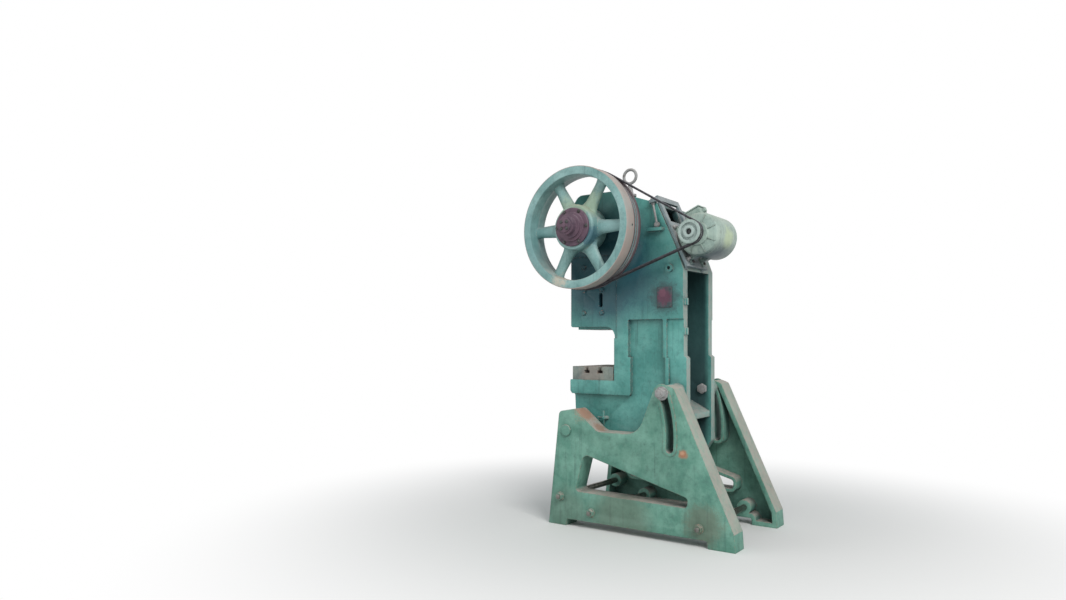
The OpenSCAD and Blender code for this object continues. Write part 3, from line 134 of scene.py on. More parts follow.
# Brush-painted grey iron that stood outdoors: sand-cast grain under a thick coat, faded in
# clouds, streaked downwards, dirty and darkened by painted shade in its corners and on its
# undersides, dusty where it faces up, dusty and paled by painted sunlight where it faces the
# rear, and chipped to primer and rust along its edges. A mark is a patch of its own, and some
# marks are painted shade.
castingLooks = {
    # brushed enamel on the big casting: blue-green, soft sheen, painted shade behind the wheel
    "pressGreenCasting": {
        "paint": "#448A82", "faded": "#68AAA1", "dust": "#B3A59D", "primer": "#A9988E",
        "rust": "#74493A", "grime": "#13272D", "cloudMm": 240, "dustiness": 0.7,
        "chipWidthMm": 7, "wear": 0.35, "rough": 0.48, "dirtAndShade": 0.95, "dirtAndShadeMm": 420,
        "dirtAndShadeFrom": 0.85, "rearDustAndLight": 0.55, "rearTilt": -1.0,
        # painted shade inside the column, darker further in
        "hollow": {"aside": (0.170, 0.168), "front": (-0.25, -0.24), "rear": (0.231, 0.201),
                   "upward": (0.3, 0.7, 0.76, 0.1)},
        "marks": [
            # painted shade: the flywheel's shade on the cheek under it
            {"at": (0.23, -0.34, 1.70), "radiusMm": 500, "colour": "#154552", "strength": 0.92},
            {"at": (0.23, 0.06, 1.52), "radiusMm": 230, "colour": "#24505A", "strength": 0.4},
            {"at": (0.0, 0.245, 1.93), "radiusMm": 210, "colour": "#A8938D", "strength": 0.3},
            {"at": (0.23, 0.10, 1.488), "radiusMm": 125, "colour": "#2F4446", "strength": 0.7},
        ],
    },
    # the same enamel near the ground: greyer, dull, thick with dust, bare rust on the seats
    "legGreenCasting": {
        "paint": "#568A79", "faded": "#79A997", "dust": "#B8A9A0", "primer": "#B39888",
        "rust": "#86543A", "grime": "#22353A", "cloudMm": 170, "dustiness": 0.85,
        "chipWidthMm": 8, "wear": 0.6, "rough": 0.6, "dirtAndShade": 0.75, "dirtAndShadeMm": 160,
        "dirtAndShadeFrom": 0.74, "rearDustAndLight": 0.75, "rearTilt": 0.18,
        "marks": [
            {"at": (0.43, 0.323, 0.538), "radiusMm": 33, "colour": "#A96E4E", "strength": 0.88},
            {"at": (0.43, 0.318, 0.544), "radiusMm": 16, "colour": "#C59A7C", "strength": 0.7},
            {"at": (0.36, -0.40, 0.745), "radiusMm": 90, "colour": "#A9765C", "strength": 0.75},
            {"at": (0.36, -0.29, 0.652), "radiusMm": 60, "colour": "#9C6A52", "strength": 0.6},
            {"at": (0.36, -0.555, 0.75), "radiusMm": 45, "colour": "#C2B7A2", "strength": 0.7},
            {"at": (0.43, 0.45, 0.13), "radiusMm": 150, "colour": "#646453", "strength": 0.6},
            {"at": (0.43, -0.1, 0.08), "radiusMm": 260, "colour": "#5E6555", "strength": 0.55},
            {"at": (0.43, -0.5, 0.08), "radiusMm": 200, "colour": "#5C6A5C", "strength": 0.45},
        ],
    },
    # enamel on spokes and hub: paler and smoother, with the rim's turned face worn through it
    "wheelGreenCasting": {
        "paint": "#6B9592", "faded": "#8EB4B0", "dust": "#AFA097", "primer": "#B9A493",
        "rust": "#7A4A3C", "grime": "#1C363C", "cloudMm": 150, "dustiness": 0.5,
        "chipWidthMm": 6, "wear": 0.55, "rough": 0.45, "dirtAndShade": 0.4, "dirtAndShadeMm": 60,
        "dirtAndShadeFrom": 0.72, "rearDustAndLight": 0.1, "rearTilt": -1.0,
        "marks": [
            {"at": (0.43, -0.54, 1.60), "radiusMm": 75, "colour": "#C8B8A4", "strength": 0.7},
            {"at": (0.43, -0.36, 2.11), "radiusMm": 130, "colour": "#A9B58F", "strength": 0.5},
            {"at": (0.43, -0.52, 2.08), "radiusMm": 110, "colour": "#A5B291", "strength": 0.5},
            {"at": (0.45, -0.31, 1.885), "radiusMm": 85, "colour": "#2F5A6A", "strength": 0.8},
            {"at": (0.38, -0.16, 1.948), "radiusMm": 120, "colour": "#93BAB8", "strength": 0.6},
            # painted shade on the front part of the rim's outer face, turning with the wheel
            {"at": (0.466, -0.80, 1.88), "radiusMm": 250, "colour": "#5C8A8B", "strength": 0.45},
        ],
        # bare behind, where the belts run, and dusty primer in front
        "rimBands": {"axis": (-0.43, 1.948), "outside": (0.394, 0.396), "wobble": 0.004,
                     "worn": (0.3, 0.62, 1, 0.6), "front": "#AC9890",
                     "behind": (0.376, 0.372), "rear": "#5E4A50", "rearStrength": 0.92},
    },
    # sprayed cream-green on cast shields and a drawn shell: even, with painted shade underneath
    "motorCreamPaint": {
        "paint": "#8DA39A", "faded": "#A9BCB0", "dust": "#B4B5A4", "primer": "#8E8B7E",
        "rust": "#6B4A38", "grime": "#1D3138", "cloudMm": 140, "dustiness": 0.35,
        "chipWidthMm": 4, "wear": 0.45, "rough": 0.45, "dirtAndShade": 0.7, "dirtAndShadeMm": 40,
        "dirtAndShadeFrom": 0.75, "rearDustAndLight": 0.15, "rearTilt": -1.0,
        "marks": [
            {"at": (0.07, 0.452, 1.848), "radiusMm": 85, "colour": "#B8C79A", "strength": 0.62},
            # painted shade under the motor
            {"at": (0.10, 0.36, 1.70), "radiusMm": 165, "colour": "#25414B", "strength": 0.85},
            {"at": (0.36, 0.33, 1.87), "radiusMm": 90, "colour": "#A7B6B2", "strength": 0.75},
        ],
    },
    # plate in grey primer: matt, blotched with pale dust
    "platePrimerCoat": {
        "paint": "#6F8386", "faded": "#93A2A4", "dust": "#B2A7A3", "primer": "#B5A6A0",
        "rust": "#6B4A3E", "grime": "#152C35", "cloudMm": 90, "dustiness": 0.6,
        "chipWidthMm": 4, "wear": 0.7, "rough": 0.55, "dirtAndShade": 0.8, "dirtAndShadeMm": 50,
        "dirtAndShadeFrom": 0.75, "rearDustAndLight": 0.3, "rearTilt": -1.0,
        "marks": [
            {"at": (0.15, 0.20, 1.85), "radiusMm": 90, "colour": "#B0A29F", "strength": 0.7},
        ],
    },
    # milled plate with a thin coat rubbed through: grey-brown, matt
    "bolsterCreamPaint": {
        "paint": "#6E7B77", "faded": "#8C9489", "dust": "#B39C8E", "primer": "#9C8277",
        "rust": "#70503C", "grime": "#262C2C", "cloudMm": 90, "dustiness": 0.5,
        "chipWidthMm": 6, "wear": 0.8, "rough": 0.55, "dirtAndShade": 0.9, "dirtAndShadeMm": 70,
        "dirtAndShadeFrom": 0.72, "rearDustAndLight": 0.2, "rearTilt": -1.0,
        "marks": [
            {"at": (0.24, -0.44, 0.985), "radiusMm": 110, "colour": "#8F7F76", "strength": 0.5},
        ],
    },
    # thin rolled sheet, nearly black, with a maroon bloom of rust
    "rustedCoverSheet": {
        "paint": "#2C4145", "faded": "#43585A", "dust": "#6E6A62", "primer": "#6E5A55",
        "rust": "#7B4634", "grime": "#1B2A2E", "cloudMm": 60, "dustiness": 0.4,
        "chipWidthMm": 4, "wear": 1.0, "rough": 0.65, "dirtAndShade": 0.3, "dirtAndShadeMm": 20,
        "dirtAndShadeFrom": 0.72, "rearDustAndLight": 0.0, "rearTilt": -1.0,
        "marks": [
            {"at": (0.235, 0.106, 1.492), "radiusMm": 66, "colour": "#5C3145", "strength": 0.85},
            {"at": (0.235, 0.092, 1.515), "radiusMm": 30, "colour": "#764A5A", "strength": 0.5},
        ],
    },
}

# What they share. A noise is its size in mm, detail and roughness. A fade is the value where
# it starts and where it ends, and then the strength at both where that isn't 0 and 1.
coat = {
    "cloudNoise": (8, 0.66),
    "noises": {
        "mottle": (9.09, 4, 0.7),       # left by the coarse brush and the weather
        "smudge": (40, 5, 0.7),         # brush and hand marks
        "flake": (18.18, 8, 0.72),      # where the paint lets go
        "grain": (5, 3, 0.6),           # sand casting under the coat
        "dent": (62.5, 2, 0.5),
    },
    "clouds": (0.38, 0.64), "mottling": (0.56, 0.78, 0, 0.4), "smudging": (0.5, 0.78, 0, 0.4),
    "runMm": (20, 20, 500),             # oily water that ran down the object's own Z
    "runNoise": {"Scale": 1, "Detail": 5, "Roughness": 0.6},
    "darkRuns": (0.56, 0.8, 0, 0.5), "paleRuns": (0.38, 0.24, 0, 0.35),
    "facingUp": (0.15, 0.8), "facingRear": (0.45, 0.95), "outInTheOpen": (0.62, 0.88),
    "tiltBlend": 0.08, "dustPatches": (0.3, 0.55, 0.45, 1),
    "underside": (-0.25, -0.85), "undersideShare": 0.7,
    "dirtAndShadeRagged": 0.5, "dirtAndShadeFull": 0.2,
    "markMottle": 0.8, "markMiddle": 0.9, "markRagged": 0.0014, "markRaggedMost": 0.15,
    "markSolid": 0.55,                  # share of the radius
    "edgeChips": (0.995, 0.86, 0, 0.27), "chipFrom": 0.83, "chipPerWear": 0.12,
    "chipEdge": (0, 0.03), "rustEdge": (0.07, 0.11),
    "grainHeight": 0.0006, "dentHeight": 0.004, "chipHeight": -0.0005, "bumpStrength": 0.8,
    "dirtRoughness": 0.3, "chipRoughness": 0.2, "ior": 1.5,
}


def paintedCasting(name, look):
    material, tree = blankMaterial(name)
    coordinates = put(tree, "ShaderNodeTexCoord").outputs
    place = coordinates["Object"]
    at = put(tree, "ShaderNodeSeparateXYZ", [place]).outputs
    facing = put(tree, "ShaderNodeSeparateXYZ", [coordinates["Normal"]]).outputs
    noise = {}
    for label, (sizeMm, detail, roughness) in {
            "cloud": (look["cloudMm"], *coat["cloudNoise"]), **coat["noises"]}.items():
        noise[label] = put(tree, "ShaderNodeTexNoise", {
            "Vector": place, "Scale": 1000 / sizeMm, "Detail": detail, "Roughness": roughness})
    stretched = put(tree, "ShaderNodeMapping", {
        "Vector": place, "Scale": tuple(1000 / size for size in coat["runMm"])})
    run = put(tree, "ShaderNodeTexNoise", {"Vector": stretched, **coat["runNoise"]})

    # each layer is a mask and its colour, painted over the ones before
    layers = []
    for value, fade, colour in (
            (noise["cloud"], "clouds", "faded"), (noise["mottle"], "mottling", "grime"),
            (noise["smudge"], "smudging", "grime"), (run, "darkRuns", "grime"),
            (run, "paleRuns", "faded")):
        mask = put(tree, "ShaderNodeMapRange", [value, *coat[fade]])
        layers.append((mask, look[colour]))

    # dust lies on faces that look up; faces that look to the rear take the dust colour as dust
    # and painted sunlight, less of it on steep ones and in corners
    upward = put(tree, "ShaderNodeMapRange", [
        facing["Z"], *coat["facingUp"], 0, look["dustiness"]])
    corner = put(tree, "ShaderNodeAmbientOcclusion", {"Distance": look["dirtAndShadeMm"] / 1000},
                 samples=shaderRays, only_local=True).outputs["AO"]
    paledTowardsRear = put(tree, "ShaderNodeMapRange", [
        facing["Y"], *coat["facingRear"], 0, look["rearDustAndLight"]])
    tilt = (look["rearTilt"] - coat["tiltBlend"], look["rearTilt"] + coat["tiltBlend"])
    for value, limits in ((corner, coat["outInTheOpen"]), (facing["Z"], tilt)):
        share = put(tree, "ShaderNodeMapRange", [value, *limits])
        paledTowardsRear = put(tree, "ShaderNodeMath", [paledTowardsRear, share], operation="MULTIPLY")
    dusty = put(tree, "ShaderNodeMath", [upward, paledTowardsRear], operation="MAXIMUM")
    patches = put(tree, "ShaderNodeMapRange", [noise["smudge"], *coat["dustPatches"]])
    dusty = put(tree, "ShaderNodeMath", [dusty, patches], operation="MULTIPLY")
    layers.append((dusty, look["dust"]))

    # painted shade: the undersides darkened towards the dark colour
    undersideShade = put(tree, "ShaderNodeMapRange", [
        facing["Z"], *coat["underside"], 0, look["dirtAndShade"] * coat["undersideShare"]])
    layers.append((undersideShade, look["grime"]))

    # old oil and dirt, and painted shade, in the corners and inside the castings
    ragged = put(tree, "ShaderNodeMath", [noise["smudge"], 0.5], operation="SUBTRACT")
    ragged = put(tree, "ShaderNodeMath", [ragged, coat["dirtAndShadeRagged"], corner],
                 operation="MULTIPLY_ADD")
    dirtAndShade = put(tree, "ShaderNodeMapRange", [
        ragged, look["dirtAndShadeFrom"], coat["dirtAndShadeFull"], 0, look["dirtAndShade"]])
    layers.append((dirtAndShade, look["grime"]))

    # painted shade inside the column: darker further in, weaker on faces that look up
    if "hollow" in look:
        hollow = look["hollow"]
        aside = put(tree, "ShaderNodeMath", [at["X"]], operation="ABSOLUTE")
        columnShade = put(tree, "ShaderNodeMapRange", [facing["Z"], *hollow["upward"]])
        for value, limits in ((aside, "aside"), (at["Y"], "front"), (at["Y"], "rear")):
            share = put(tree, "ShaderNodeMapRange", [value, *hollow[limits]])
            columnShade = put(tree, "ShaderNodeMath", [columnShade, share], operation="MULTIPLY")
        layers.append((columnShade, look["grime"]))

    uneven = put(tree, "ShaderNodeMath", [noise["mottle"], coat["markMottle"], noise["smudge"]],
                 operation="MULTIPLY_ADD")
    uneven = put(tree, "ShaderNodeMath", [uneven, coat["markMiddle"]], operation="SUBTRACT")
    for mark in look["marks"]:
        size = mark["radiusMm"] / 1000
        reach = min(mark["radiusMm"] * coat["markRagged"], coat["markRaggedMost"])
        away = put(tree, "ShaderNodeVectorMath", [place, mark["at"]], operation="DISTANCE")
        edge = put(tree, "ShaderNodeMath", [uneven, reach, away], operation="MULTIPLY_ADD")
        mask = put(tree, "ShaderNodeMapRange", [
            edge, size, size * coat["markSolid"], 0, mark["strength"]])
        layers.append((mask, mark["colour"]))

    if "rimBands" in look:
        band = look["rimBands"]
        high = put(tree, "ShaderNodeMath", [at["Y"], band["axis"][0]], operation="SUBTRACT")
        wide = put(tree, "ShaderNodeMath", [at["Z"], band["axis"][1]], operation="SUBTRACT")
        reach = put(tree, "ShaderNodeCombineXYZ", [0, high, wide])
        radius = put(tree, "ShaderNodeVectorMath", [reach], operation="LENGTH")
        radius = put(tree, "ShaderNodeMath", [noise["smudge"], band["wobble"], radius],
                     operation="MULTIPLY_ADD")
        outside = put(tree, "ShaderNodeMapRange", [radius, *band["outside"]])
        worn = put(tree, "ShaderNodeMapRange", [noise["cloud"], *band["worn"]])
        worn = put(tree, "ShaderNodeMath", [outside, worn], operation="MULTIPLY")
        behind = put(tree, "ShaderNodeMapRange", [
            at["X"], *band["behind"], 0, band["rearStrength"]])
        behind = put(tree, "ShaderNodeMath", [outside, behind], operation="MULTIPLY")
        layers += [(worn, band["front"]), (behind, band["rear"])]

    # chips along the edges, down to the primer and in the middle to rust
    rounded, agreement = roundedEdges(tree, look["chipWidthMm"])
    loosened = put(tree, "ShaderNodeMapRange", [agreement, *coat["edgeChips"]])
    flake = put(tree, "ShaderNodeMath", [noise["flake"], loosened], operation="ADD")
    chipFrom = coat["chipFrom"] - coat["chipPerWear"] * look["wear"]
    chips, rust = [put(tree, "ShaderNodeMapRange", [flake, *(chipFrom + step for step in edge)])
                   for edge in (coat["chipEdge"], coat["rustEdge"])]
    layers += [(chips, look["primer"]), (rust, look["rust"])]

    colour = look["paint"]
    for mask, above in layers:
        colour = put(tree, "ShaderNodeMix", {0: mask, 6: colour, 7: above}, data_type="RGBA")
    height = 0.0
    for value, amount in ((noise["grain"], "grainHeight"), (noise["dent"], "dentHeight"),
                          (chips, "chipHeight")):
        height = put(tree, "ShaderNodeMath", [value, coat[amount], height],
                     operation="MULTIPLY_ADD")
    bump = put(tree, "ShaderNodeBump", {"Height": height, "Strength": coat["bumpStrength"],
                                        "Distance": 1.0, "Normal": rounded})
    dull = put(tree, "ShaderNodeMath", [dusty, dirtAndShade], operation="MAXIMUM")
    dull = put(tree, "ShaderNodeMath", [dull, coat["dirtRoughness"], look["rough"]],
               operation="MULTIPLY_ADD")
    dull = put(tree, "ShaderNodeMath", [chips, coat["chipRoughness"], dull],
               operation="MULTIPLY_ADD", use_clamp=True)
    shader = put(tree, "ShaderNodeBsdfPrincipled", {
        "Base Color": colour, "Roughness": dull, "Normal": bump, "IOR": coat["ior"]})
    put(tree, "ShaderNodeOutputMaterial", {"Surface": shader})
    return material


# Small parts without a thick coat: bare or blackened metal under old oil, brown where water
# stood, with dust on top, a rubbed bright arris, and stain and painted shade in the corners
metalLooks = {
    # turned mild steel: a soft grey shine broken up by brown oil
    "oiledTurnedSteel": {
        "bright": "#7F7E79", "stain": "#463F37", "edge": "#B4B2AB", "dust": "#8A8072",
        "stainMm": 60, "rough": 0.38, "metal": 1.0, "amount": 0.45, "dustiness": 0.2},
    # blackened bolt steel: dark, half metallic, paler on the rubbed corners
    "blackenedBoltSteel": {
        "bright": "#46484A", "stain": "#35302C", "edge": "#6E6A66", "dust": "#8C8074",
        "stainMm": 25, "rough": 0.5, "metal": 0.6, "amount": 0.5, "dustiness": 0.45},
    # turned bronze bushes: dull gold under a brown film
    "oiledBronze": {
        "bright": "#957440", "stain": "#4B3A22", "edge": "#BC9A60", "dust": "#7A6A54",
        "stainMm": 30, "rough": 0.4, "metal": 1.0, "amount": 0.4, "dustiness": 0.15},
    # cast iron with a full skin of old rust and paint: maroon, no metal shine
    "rustedMaroonIron": {
        "bright": "#5F4856", "stain": "#3B3340", "edge": "#8E747C", "dust": "#8A7A82",
        "stainMm": 70, "rough": 0.62, "metal": 0.0, "amount": 0.42, "dustiness": 0.6},
    # forged steel under dust: pale grey and matt, hardly metallic any more
    "dustyForgedSteel": {
        "bright": "#989897", "stain": "#6C635E", "edge": "#C3C1BE", "dust": "#B8B2AE",
        "stainMm": 18, "rough": 0.62, "metal": 0.1, "amount": 0.45, "dustiness": 0.8},
    # woven friction lining: brown, flecked and quite matt
    "wovenBrakeLining": {
        "bright": "#6B5643", "stain": "#2F261E", "edge": "#6B5643", "dust": "#6B5643",
        "stainMm": 12, "rough": 0.9, "metal": 0.0, "amount": 0.5, "dustiness": 0.1},
    # moulded belt rubber: charcoal, greyed by dust on top
    "dustyBeltRubber": {
        "bright": "#3A393D", "stain": "#1A1A1D", "edge": "#686770", "dust": "#76747B",
        "stainMm": 40, "rough": 0.75, "metal": 0.0, "amount": 0.6, "dustiness": 0.5},
}

# What they share, with fades as in the coat above
bareSurface = {
    "patchNoise": {"Detail": 6, "Roughness": 0.6}, "stainFade": (0.72, 0.98),
    "fadePerAmount": 0.5, "dustOnTop": (0.1, 0.8), "dustPatches": (0.35, 0.6, 1, 0.5),
    "arrisMm": 2.5, "rubbedEdges": (0.99, 0.88, 0, 0.8), "rubbedPatches": (0.35, 0.6, 0.4, 1),
    "speckMm": 3.03, "speckDetail": 3, "speckHeight": 0.0004, "bumpStrength": 0.6,
    "cornerMm": 30, "cornerStainAndShadeFade": (0.7, 0.25, 0, 0.6), "stainRoughness": 0.25,
}


def oldSurface(name, look):
    material, tree = blankMaterial(name)
    coordinates = put(tree, "ShaderNodeTexCoord").outputs
    place = coordinates["Object"]
    facing = put(tree, "ShaderNodeSeparateXYZ", [coordinates["Normal"]]).outputs
    patch = put(tree, "ShaderNodeTexNoise", {
        "Vector": place, "Scale": 1000 / look["stainMm"], **bareSurface["patchNoise"]})
    speck = put(tree, "ShaderNodeTexNoise", {
        "Vector": place, "Scale": 1000 / bareSurface["speckMm"],
        "Detail": bareSurface["speckDetail"]})
    sooner = bareSurface["fadePerAmount"] * look["amount"]
    stain = put(tree, "ShaderNodeMapRange", [
        patch, *(limit - sooner for limit in bareSurface["stainFade"])])

    dusty = put(tree, "ShaderNodeMapRange", [
        facing["Z"], *bareSurface["dustOnTop"], 0, look["dustiness"]])
    patches = put(tree, "ShaderNodeMapRange", [patch, *bareSurface["dustPatches"]])
    dusty = put(tree, "ShaderNodeMath", [dusty, patches], operation="MULTIPLY")

    rounded, agreement = roundedEdges(tree, bareSurface["arrisMm"])
    rubbed = put(tree, "ShaderNodeMapRange", [agreement, *bareSurface["rubbedEdges"]])
    patches = put(tree, "ShaderNodeMapRange", [speck, *bareSurface["rubbedPatches"]])
    rubbed = put(tree, "ShaderNodeMath", [rubbed, patches], operation="MULTIPLY")

    # stain and painted shade in the corners, in the stain colour
    corner = put(tree, "ShaderNodeAmbientOcclusion", {
        "Distance": bareSurface["cornerMm"] / 1000}, samples=shaderRays, only_local=True)
    cornerStainAndShade = put(tree, "ShaderNodeMapRange", [
        corner.outputs["AO"], *bareSurface["cornerStainAndShadeFade"]])

    colour = look["bright"]
    for mask, above in ((stain, "stain"), (dusty, "dust"), (rubbed, "edge"),
                        (cornerStainAndShade, "stain")):
        colour = put(tree, "ShaderNodeMix", {0: mask, 6: colour, 7: look[above]},
                     data_type="RGBA")
    height = put(tree, "ShaderNodeMath", [speck, bareSurface["speckHeight"]],
                 operation="MULTIPLY")
    bump = put(tree, "ShaderNodeBump", {
        "Height": height, "Strength": bareSurface["bumpStrength"], "Distance": 1.0,
        "Normal": rounded})
    dull = put(tree, "ShaderNodeMath", [stain, bareSurface["stainRoughness"], look["rough"]],
               operation="MULTIPLY_ADD", use_clamp=True)
    shader = put(tree, "ShaderNodeBsdfPrincipled", {
        "Base Color": colour, "Roughness": dull, "Normal": bump, "Metallic": look["metal"]})
    put(tree, "ShaderNodeOutputMaterial", {"Surface": shader})
    return material


materials = {name: paintedCasting(name, look) for name, look in castingLooks.items()}
materials.update({name: oldSurface(name, look) for name, look in metalLooks.items()})
materialOfSlot = {
    "press_green": "pressGreenCasting", "wheel_green": "wheelGreenCasting",
    "motor_cream": "motorCreamPaint", "machined_steel": "oiledTurnedSteel",
    "black_steel": "blackenedBoltSteel", "bronze": "oiledBronze",
    "rusty_iron": "rustedMaroonIron", "belt_rubber": "dustyBeltRubber",
    "bolster_cream": "bolsterCreamPaint", "lining": "wovenBrakeLining",
}
ownMaterial = {             # nodes that look other than the rest of their slot
    "leg_right": "legGreenCasting", "leg_left": "legGreenCasting",
    "pivot_pins": "legGreenCasting", "tie_rod_nuts": "legGreenCasting",
    "gib_bolts": "pressGreenCasting", "drain_cock": "pressGreenCasting",
    "cock_handle": "pressGreenCasting", "side_cover": "rustedCoverSheet",
    "lifting_eye": "dustyForgedSteel", "tilt_clamp_bolts": "dustyForgedSteel",
    "belt_adjusters": "dustyForgedSteel", "plate_studs": "dustyForgedSteel",
    "motor_shaft": "blackenedBoltSteel", "motor_plate": "platePrimerCoat",
    "motor_brackets": "platePrimerCoat",
}


def materialFor(nodeName):
    return materials[ownMaterial.get(nodeName, materialOfSlot[slotOf[nodeName]])]


print("materials made:", len(materials))


# Softened edges: a merged copy of each solid with its sharp edges broken
brokenEdge = {
    "mergeWithin": 0.00002, "twinsWithin": 0.000003,     # metres
    "flatDegrees": 0.6, "sharpDegrees": 32, "steps": 2,
    "widthMm": {
        "leg_right": 6, "leg_left": 6, "frame": 5, "bearing_caps": 4, "slide": 2,
        "bolster": 1.5, "hub_cap": 2, "motor_body": 2.5, "end_shields": 3, "terminal_box": 2,
        "motor_plate": 2, "motor_brackets": 3, "lifting_eye": 2, "side_cover": 1.2,
        "pivot_pins": 3, "tie_rod_nuts": 1.5, "tilt_clamp_bolts": 2, "brake_bracket": 2,
        "connecting_rod": 3, "rod_cap": 3, "motor_pulley": 1.2, "rear_lugs": 2,
        "crankshaft": 1.5, "brake_drum": 1.5, "drain_cock": 1, "cock_handle": 1,
        "bolster_bolts": 1, "plate_studs": 1, "belt_adjusters": 1, "rod_bolts": 1,
        "clutch_collar": 1, "leg_tie_rods": 1, "grease_cups": 0.8, "gibs": 1.5,
        "motor_shaft": 1,
    },
}


# What the modifiers make, as a plain mesh in which no two corners fall together
def plainMesh(thing, name):
    graph = bpy.context.evaluated_depsgraph_get()
    mesh = bpy.data.meshes.new_from_object(thing.evaluated_get(graph))
    mesh.name = name
    work = bmesh.new()
    work.from_mesh(mesh)
    bmesh.ops.remove_doubles(work, verts=work.verts, dist=brokenEdge["twinsWithin"])
    work.to_mesh(mesh)
    work.free()
    return mesh


def dress(piece, nodeName, sharpDegrees=38, standsForNode=True):
    piece.data.shade_smooth()
    piece.data.set_sharp_from_angle(angle=math.radians(sharpDegrees))
    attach(piece, bodyOf[nodeName])
    if standsForNode:
        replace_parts(piece, nodeName)


def mergedMesh(nodeName):
    work = bmesh.new()
    work.from_mesh(nodes[nodeName].data)
    bmesh.ops.remove_doubles(work, verts=work.verts, dist=brokenEdge["mergeWithin"])
    return work


def softCopy(nodeName, widthMm, spec):
    work = mergedMesh(nodeName)
    bmesh.ops.dissolve_limit(work, angle_limit=math.radians(spec["flatDegrees"]),
                             verts=work.verts, edges=work.edges,
                             use_dissolve_boundaries=False)
    mesh = bpy.data.meshes.new(nodeName + "Soft")
    work.to_mesh(mesh)
    work.free()
    piece = bpy.data.objects.new(nodeName + "Soft", mesh)
    bpy.context.collection.objects.link(piece)
    bevel = piece.modifiers.new("brokenEdges", "BEVEL")
    bevel.width = widthMm / 1000
    bevel.segments = spec["steps"]
    bevel.limit_method = "ANGLE"
    bevel.angle_limit = math.radians(spec["sharpDegrees"])
    bevel.use_clamp_overlap = True
    piece.data = plainMesh(piece, nodeName + "Soft")
    piece.modifiers.clear()
    piece.data.materials.clear()
    piece.data.materials.append(materialFor(nodeName))
    dress(piece, nodeName)


for softNode, widthMm in brokenEdge["widthMm"].items():
    softCopy(softNode, widthMm, brokenEdge)
print("edges softened:", len(brokenEdge["widthMm"]))


# Geometry Nodes: one tree for each kind of piece, evaluated to a plain mesh
def startTree(name, sizes):
    tree = bpy.data.node_groups.new(name, "GeometryNodeTree")
    tree.interface.new_socket("Geometry", in_out="INPUT", socket_type="NodeSocketGeometry")
    for label, value in sizes.items():
        kind = "NodeSocketInt" if isinstance(value, int) else "NodeSocketFloat"
        socket = tree.interface.new_socket(label, in_out="INPUT", socket_type=kind)
        socket.default_value = value
    tree.interface.new_socket("Material", in_out="INPUT", socket_type="NodeSocketMaterial")
    tree.interface.new_socket("Geometry", in_out="OUTPUT", socket_type="NodeSocketGeometry")
    return tree, put(tree, "NodeGroupInput").outputs


def endTree(tree, geometry, given):
    real = put(tree, "GeometryNodeRealizeInstances", {"Geometry": geometry})
    painted = put(tree, "GeometryNodeSetMaterial", {
        "Geometry": real, "Material": given["Material"]})
    put(tree, "NodeGroupOutput", {"Geometry": painted})


# A profile drawn along a path in the YZ plane: its x stays on X and its y points outwards
def sweepProfile(tree, line, profile, corner, cornerSteps):
    path = put(tree, "GeometryNodeSetCurveNormal", {"Curve": line, "Normal": (1, 0, 0)},
               mode="FREE")
    eased = put(tree, "GeometryNodeFilletCurve", {
        "Curve": profile, "Count": cornerSteps, "Radius": corner, "Limit Radius": True},
        mode="POLY")
    return put(tree, "GeometryNodeCurveToMesh", {"Curve": path, "Profile Curve": eased})


def repeatAroundX(tree, instance, count, firstAngle):
    points = put(tree, "GeometryNodePoints", {"Count": count})
    step = put(tree, "ShaderNodeMath", [math.tau, count], operation="DIVIDE")
    index = put(tree, "GeometryNodeInputIndex")
    angle = put(tree, "ShaderNodeMath", [index, step, firstAngle], operation="MULTIPLY_ADD")
    around = put(tree, "ShaderNodeCombineXYZ", [angle])
    return put(tree, "GeometryNodeInstanceOnPoints", {
        "Points": points, "Instance": instance, "Rotation": around})


def growPiece(name, sourceMesh, tree, sizes, nodeName):
    piece = bpy.data.objects.new(name, sourceMesh)
    bpy.context.collection.objects.link(piece)
    modifier = piece.modifiers.new("grown", "NODES")
    modifier.node_group = tree
    values = {**sizes, "Material": materialFor(nodeName)}
    for item in tree.interface.items_tree:
        if item.in_out == "INPUT" and item.name in values:
            modifier[item.identifier] = values[item.name]
    piece.data = plainMesh(piece, name)
    piece.modifiers.clear()
    work = bmesh.new()
    work.from_mesh(piece.data)
    bmesh.ops.recalc_face_normals(work, faces=work.faces)
    work.to_mesh(piece.data)
    work.free()
    return piece


# Hexagon bolts with a turned crown and a washer, stood on points that carry axis and size
hexBolt = {
    "sizes": {"Washer Radius": 1.28, "Washer Top": 0.17, "Crown Radius": 0.72, "Turn Seed": 7},
    "crownStarts": 0.84, "crownFacets": 24, "washerFacets": 28,
    "axisOf": {"hub_cap_bolts": (1, 0, 0), "gib_bolts": "outwards",
               "bearing_cap_bolts": (0, -1, 0), "motor_feet_bolts": "slope"},
    "slopeDegrees": 65.355,
    "faceDepth": 0.0004,        # metres below the top that still count as the head's face
    "headShare": 0.93,          # of the radius, outside which a corner is the head's
}


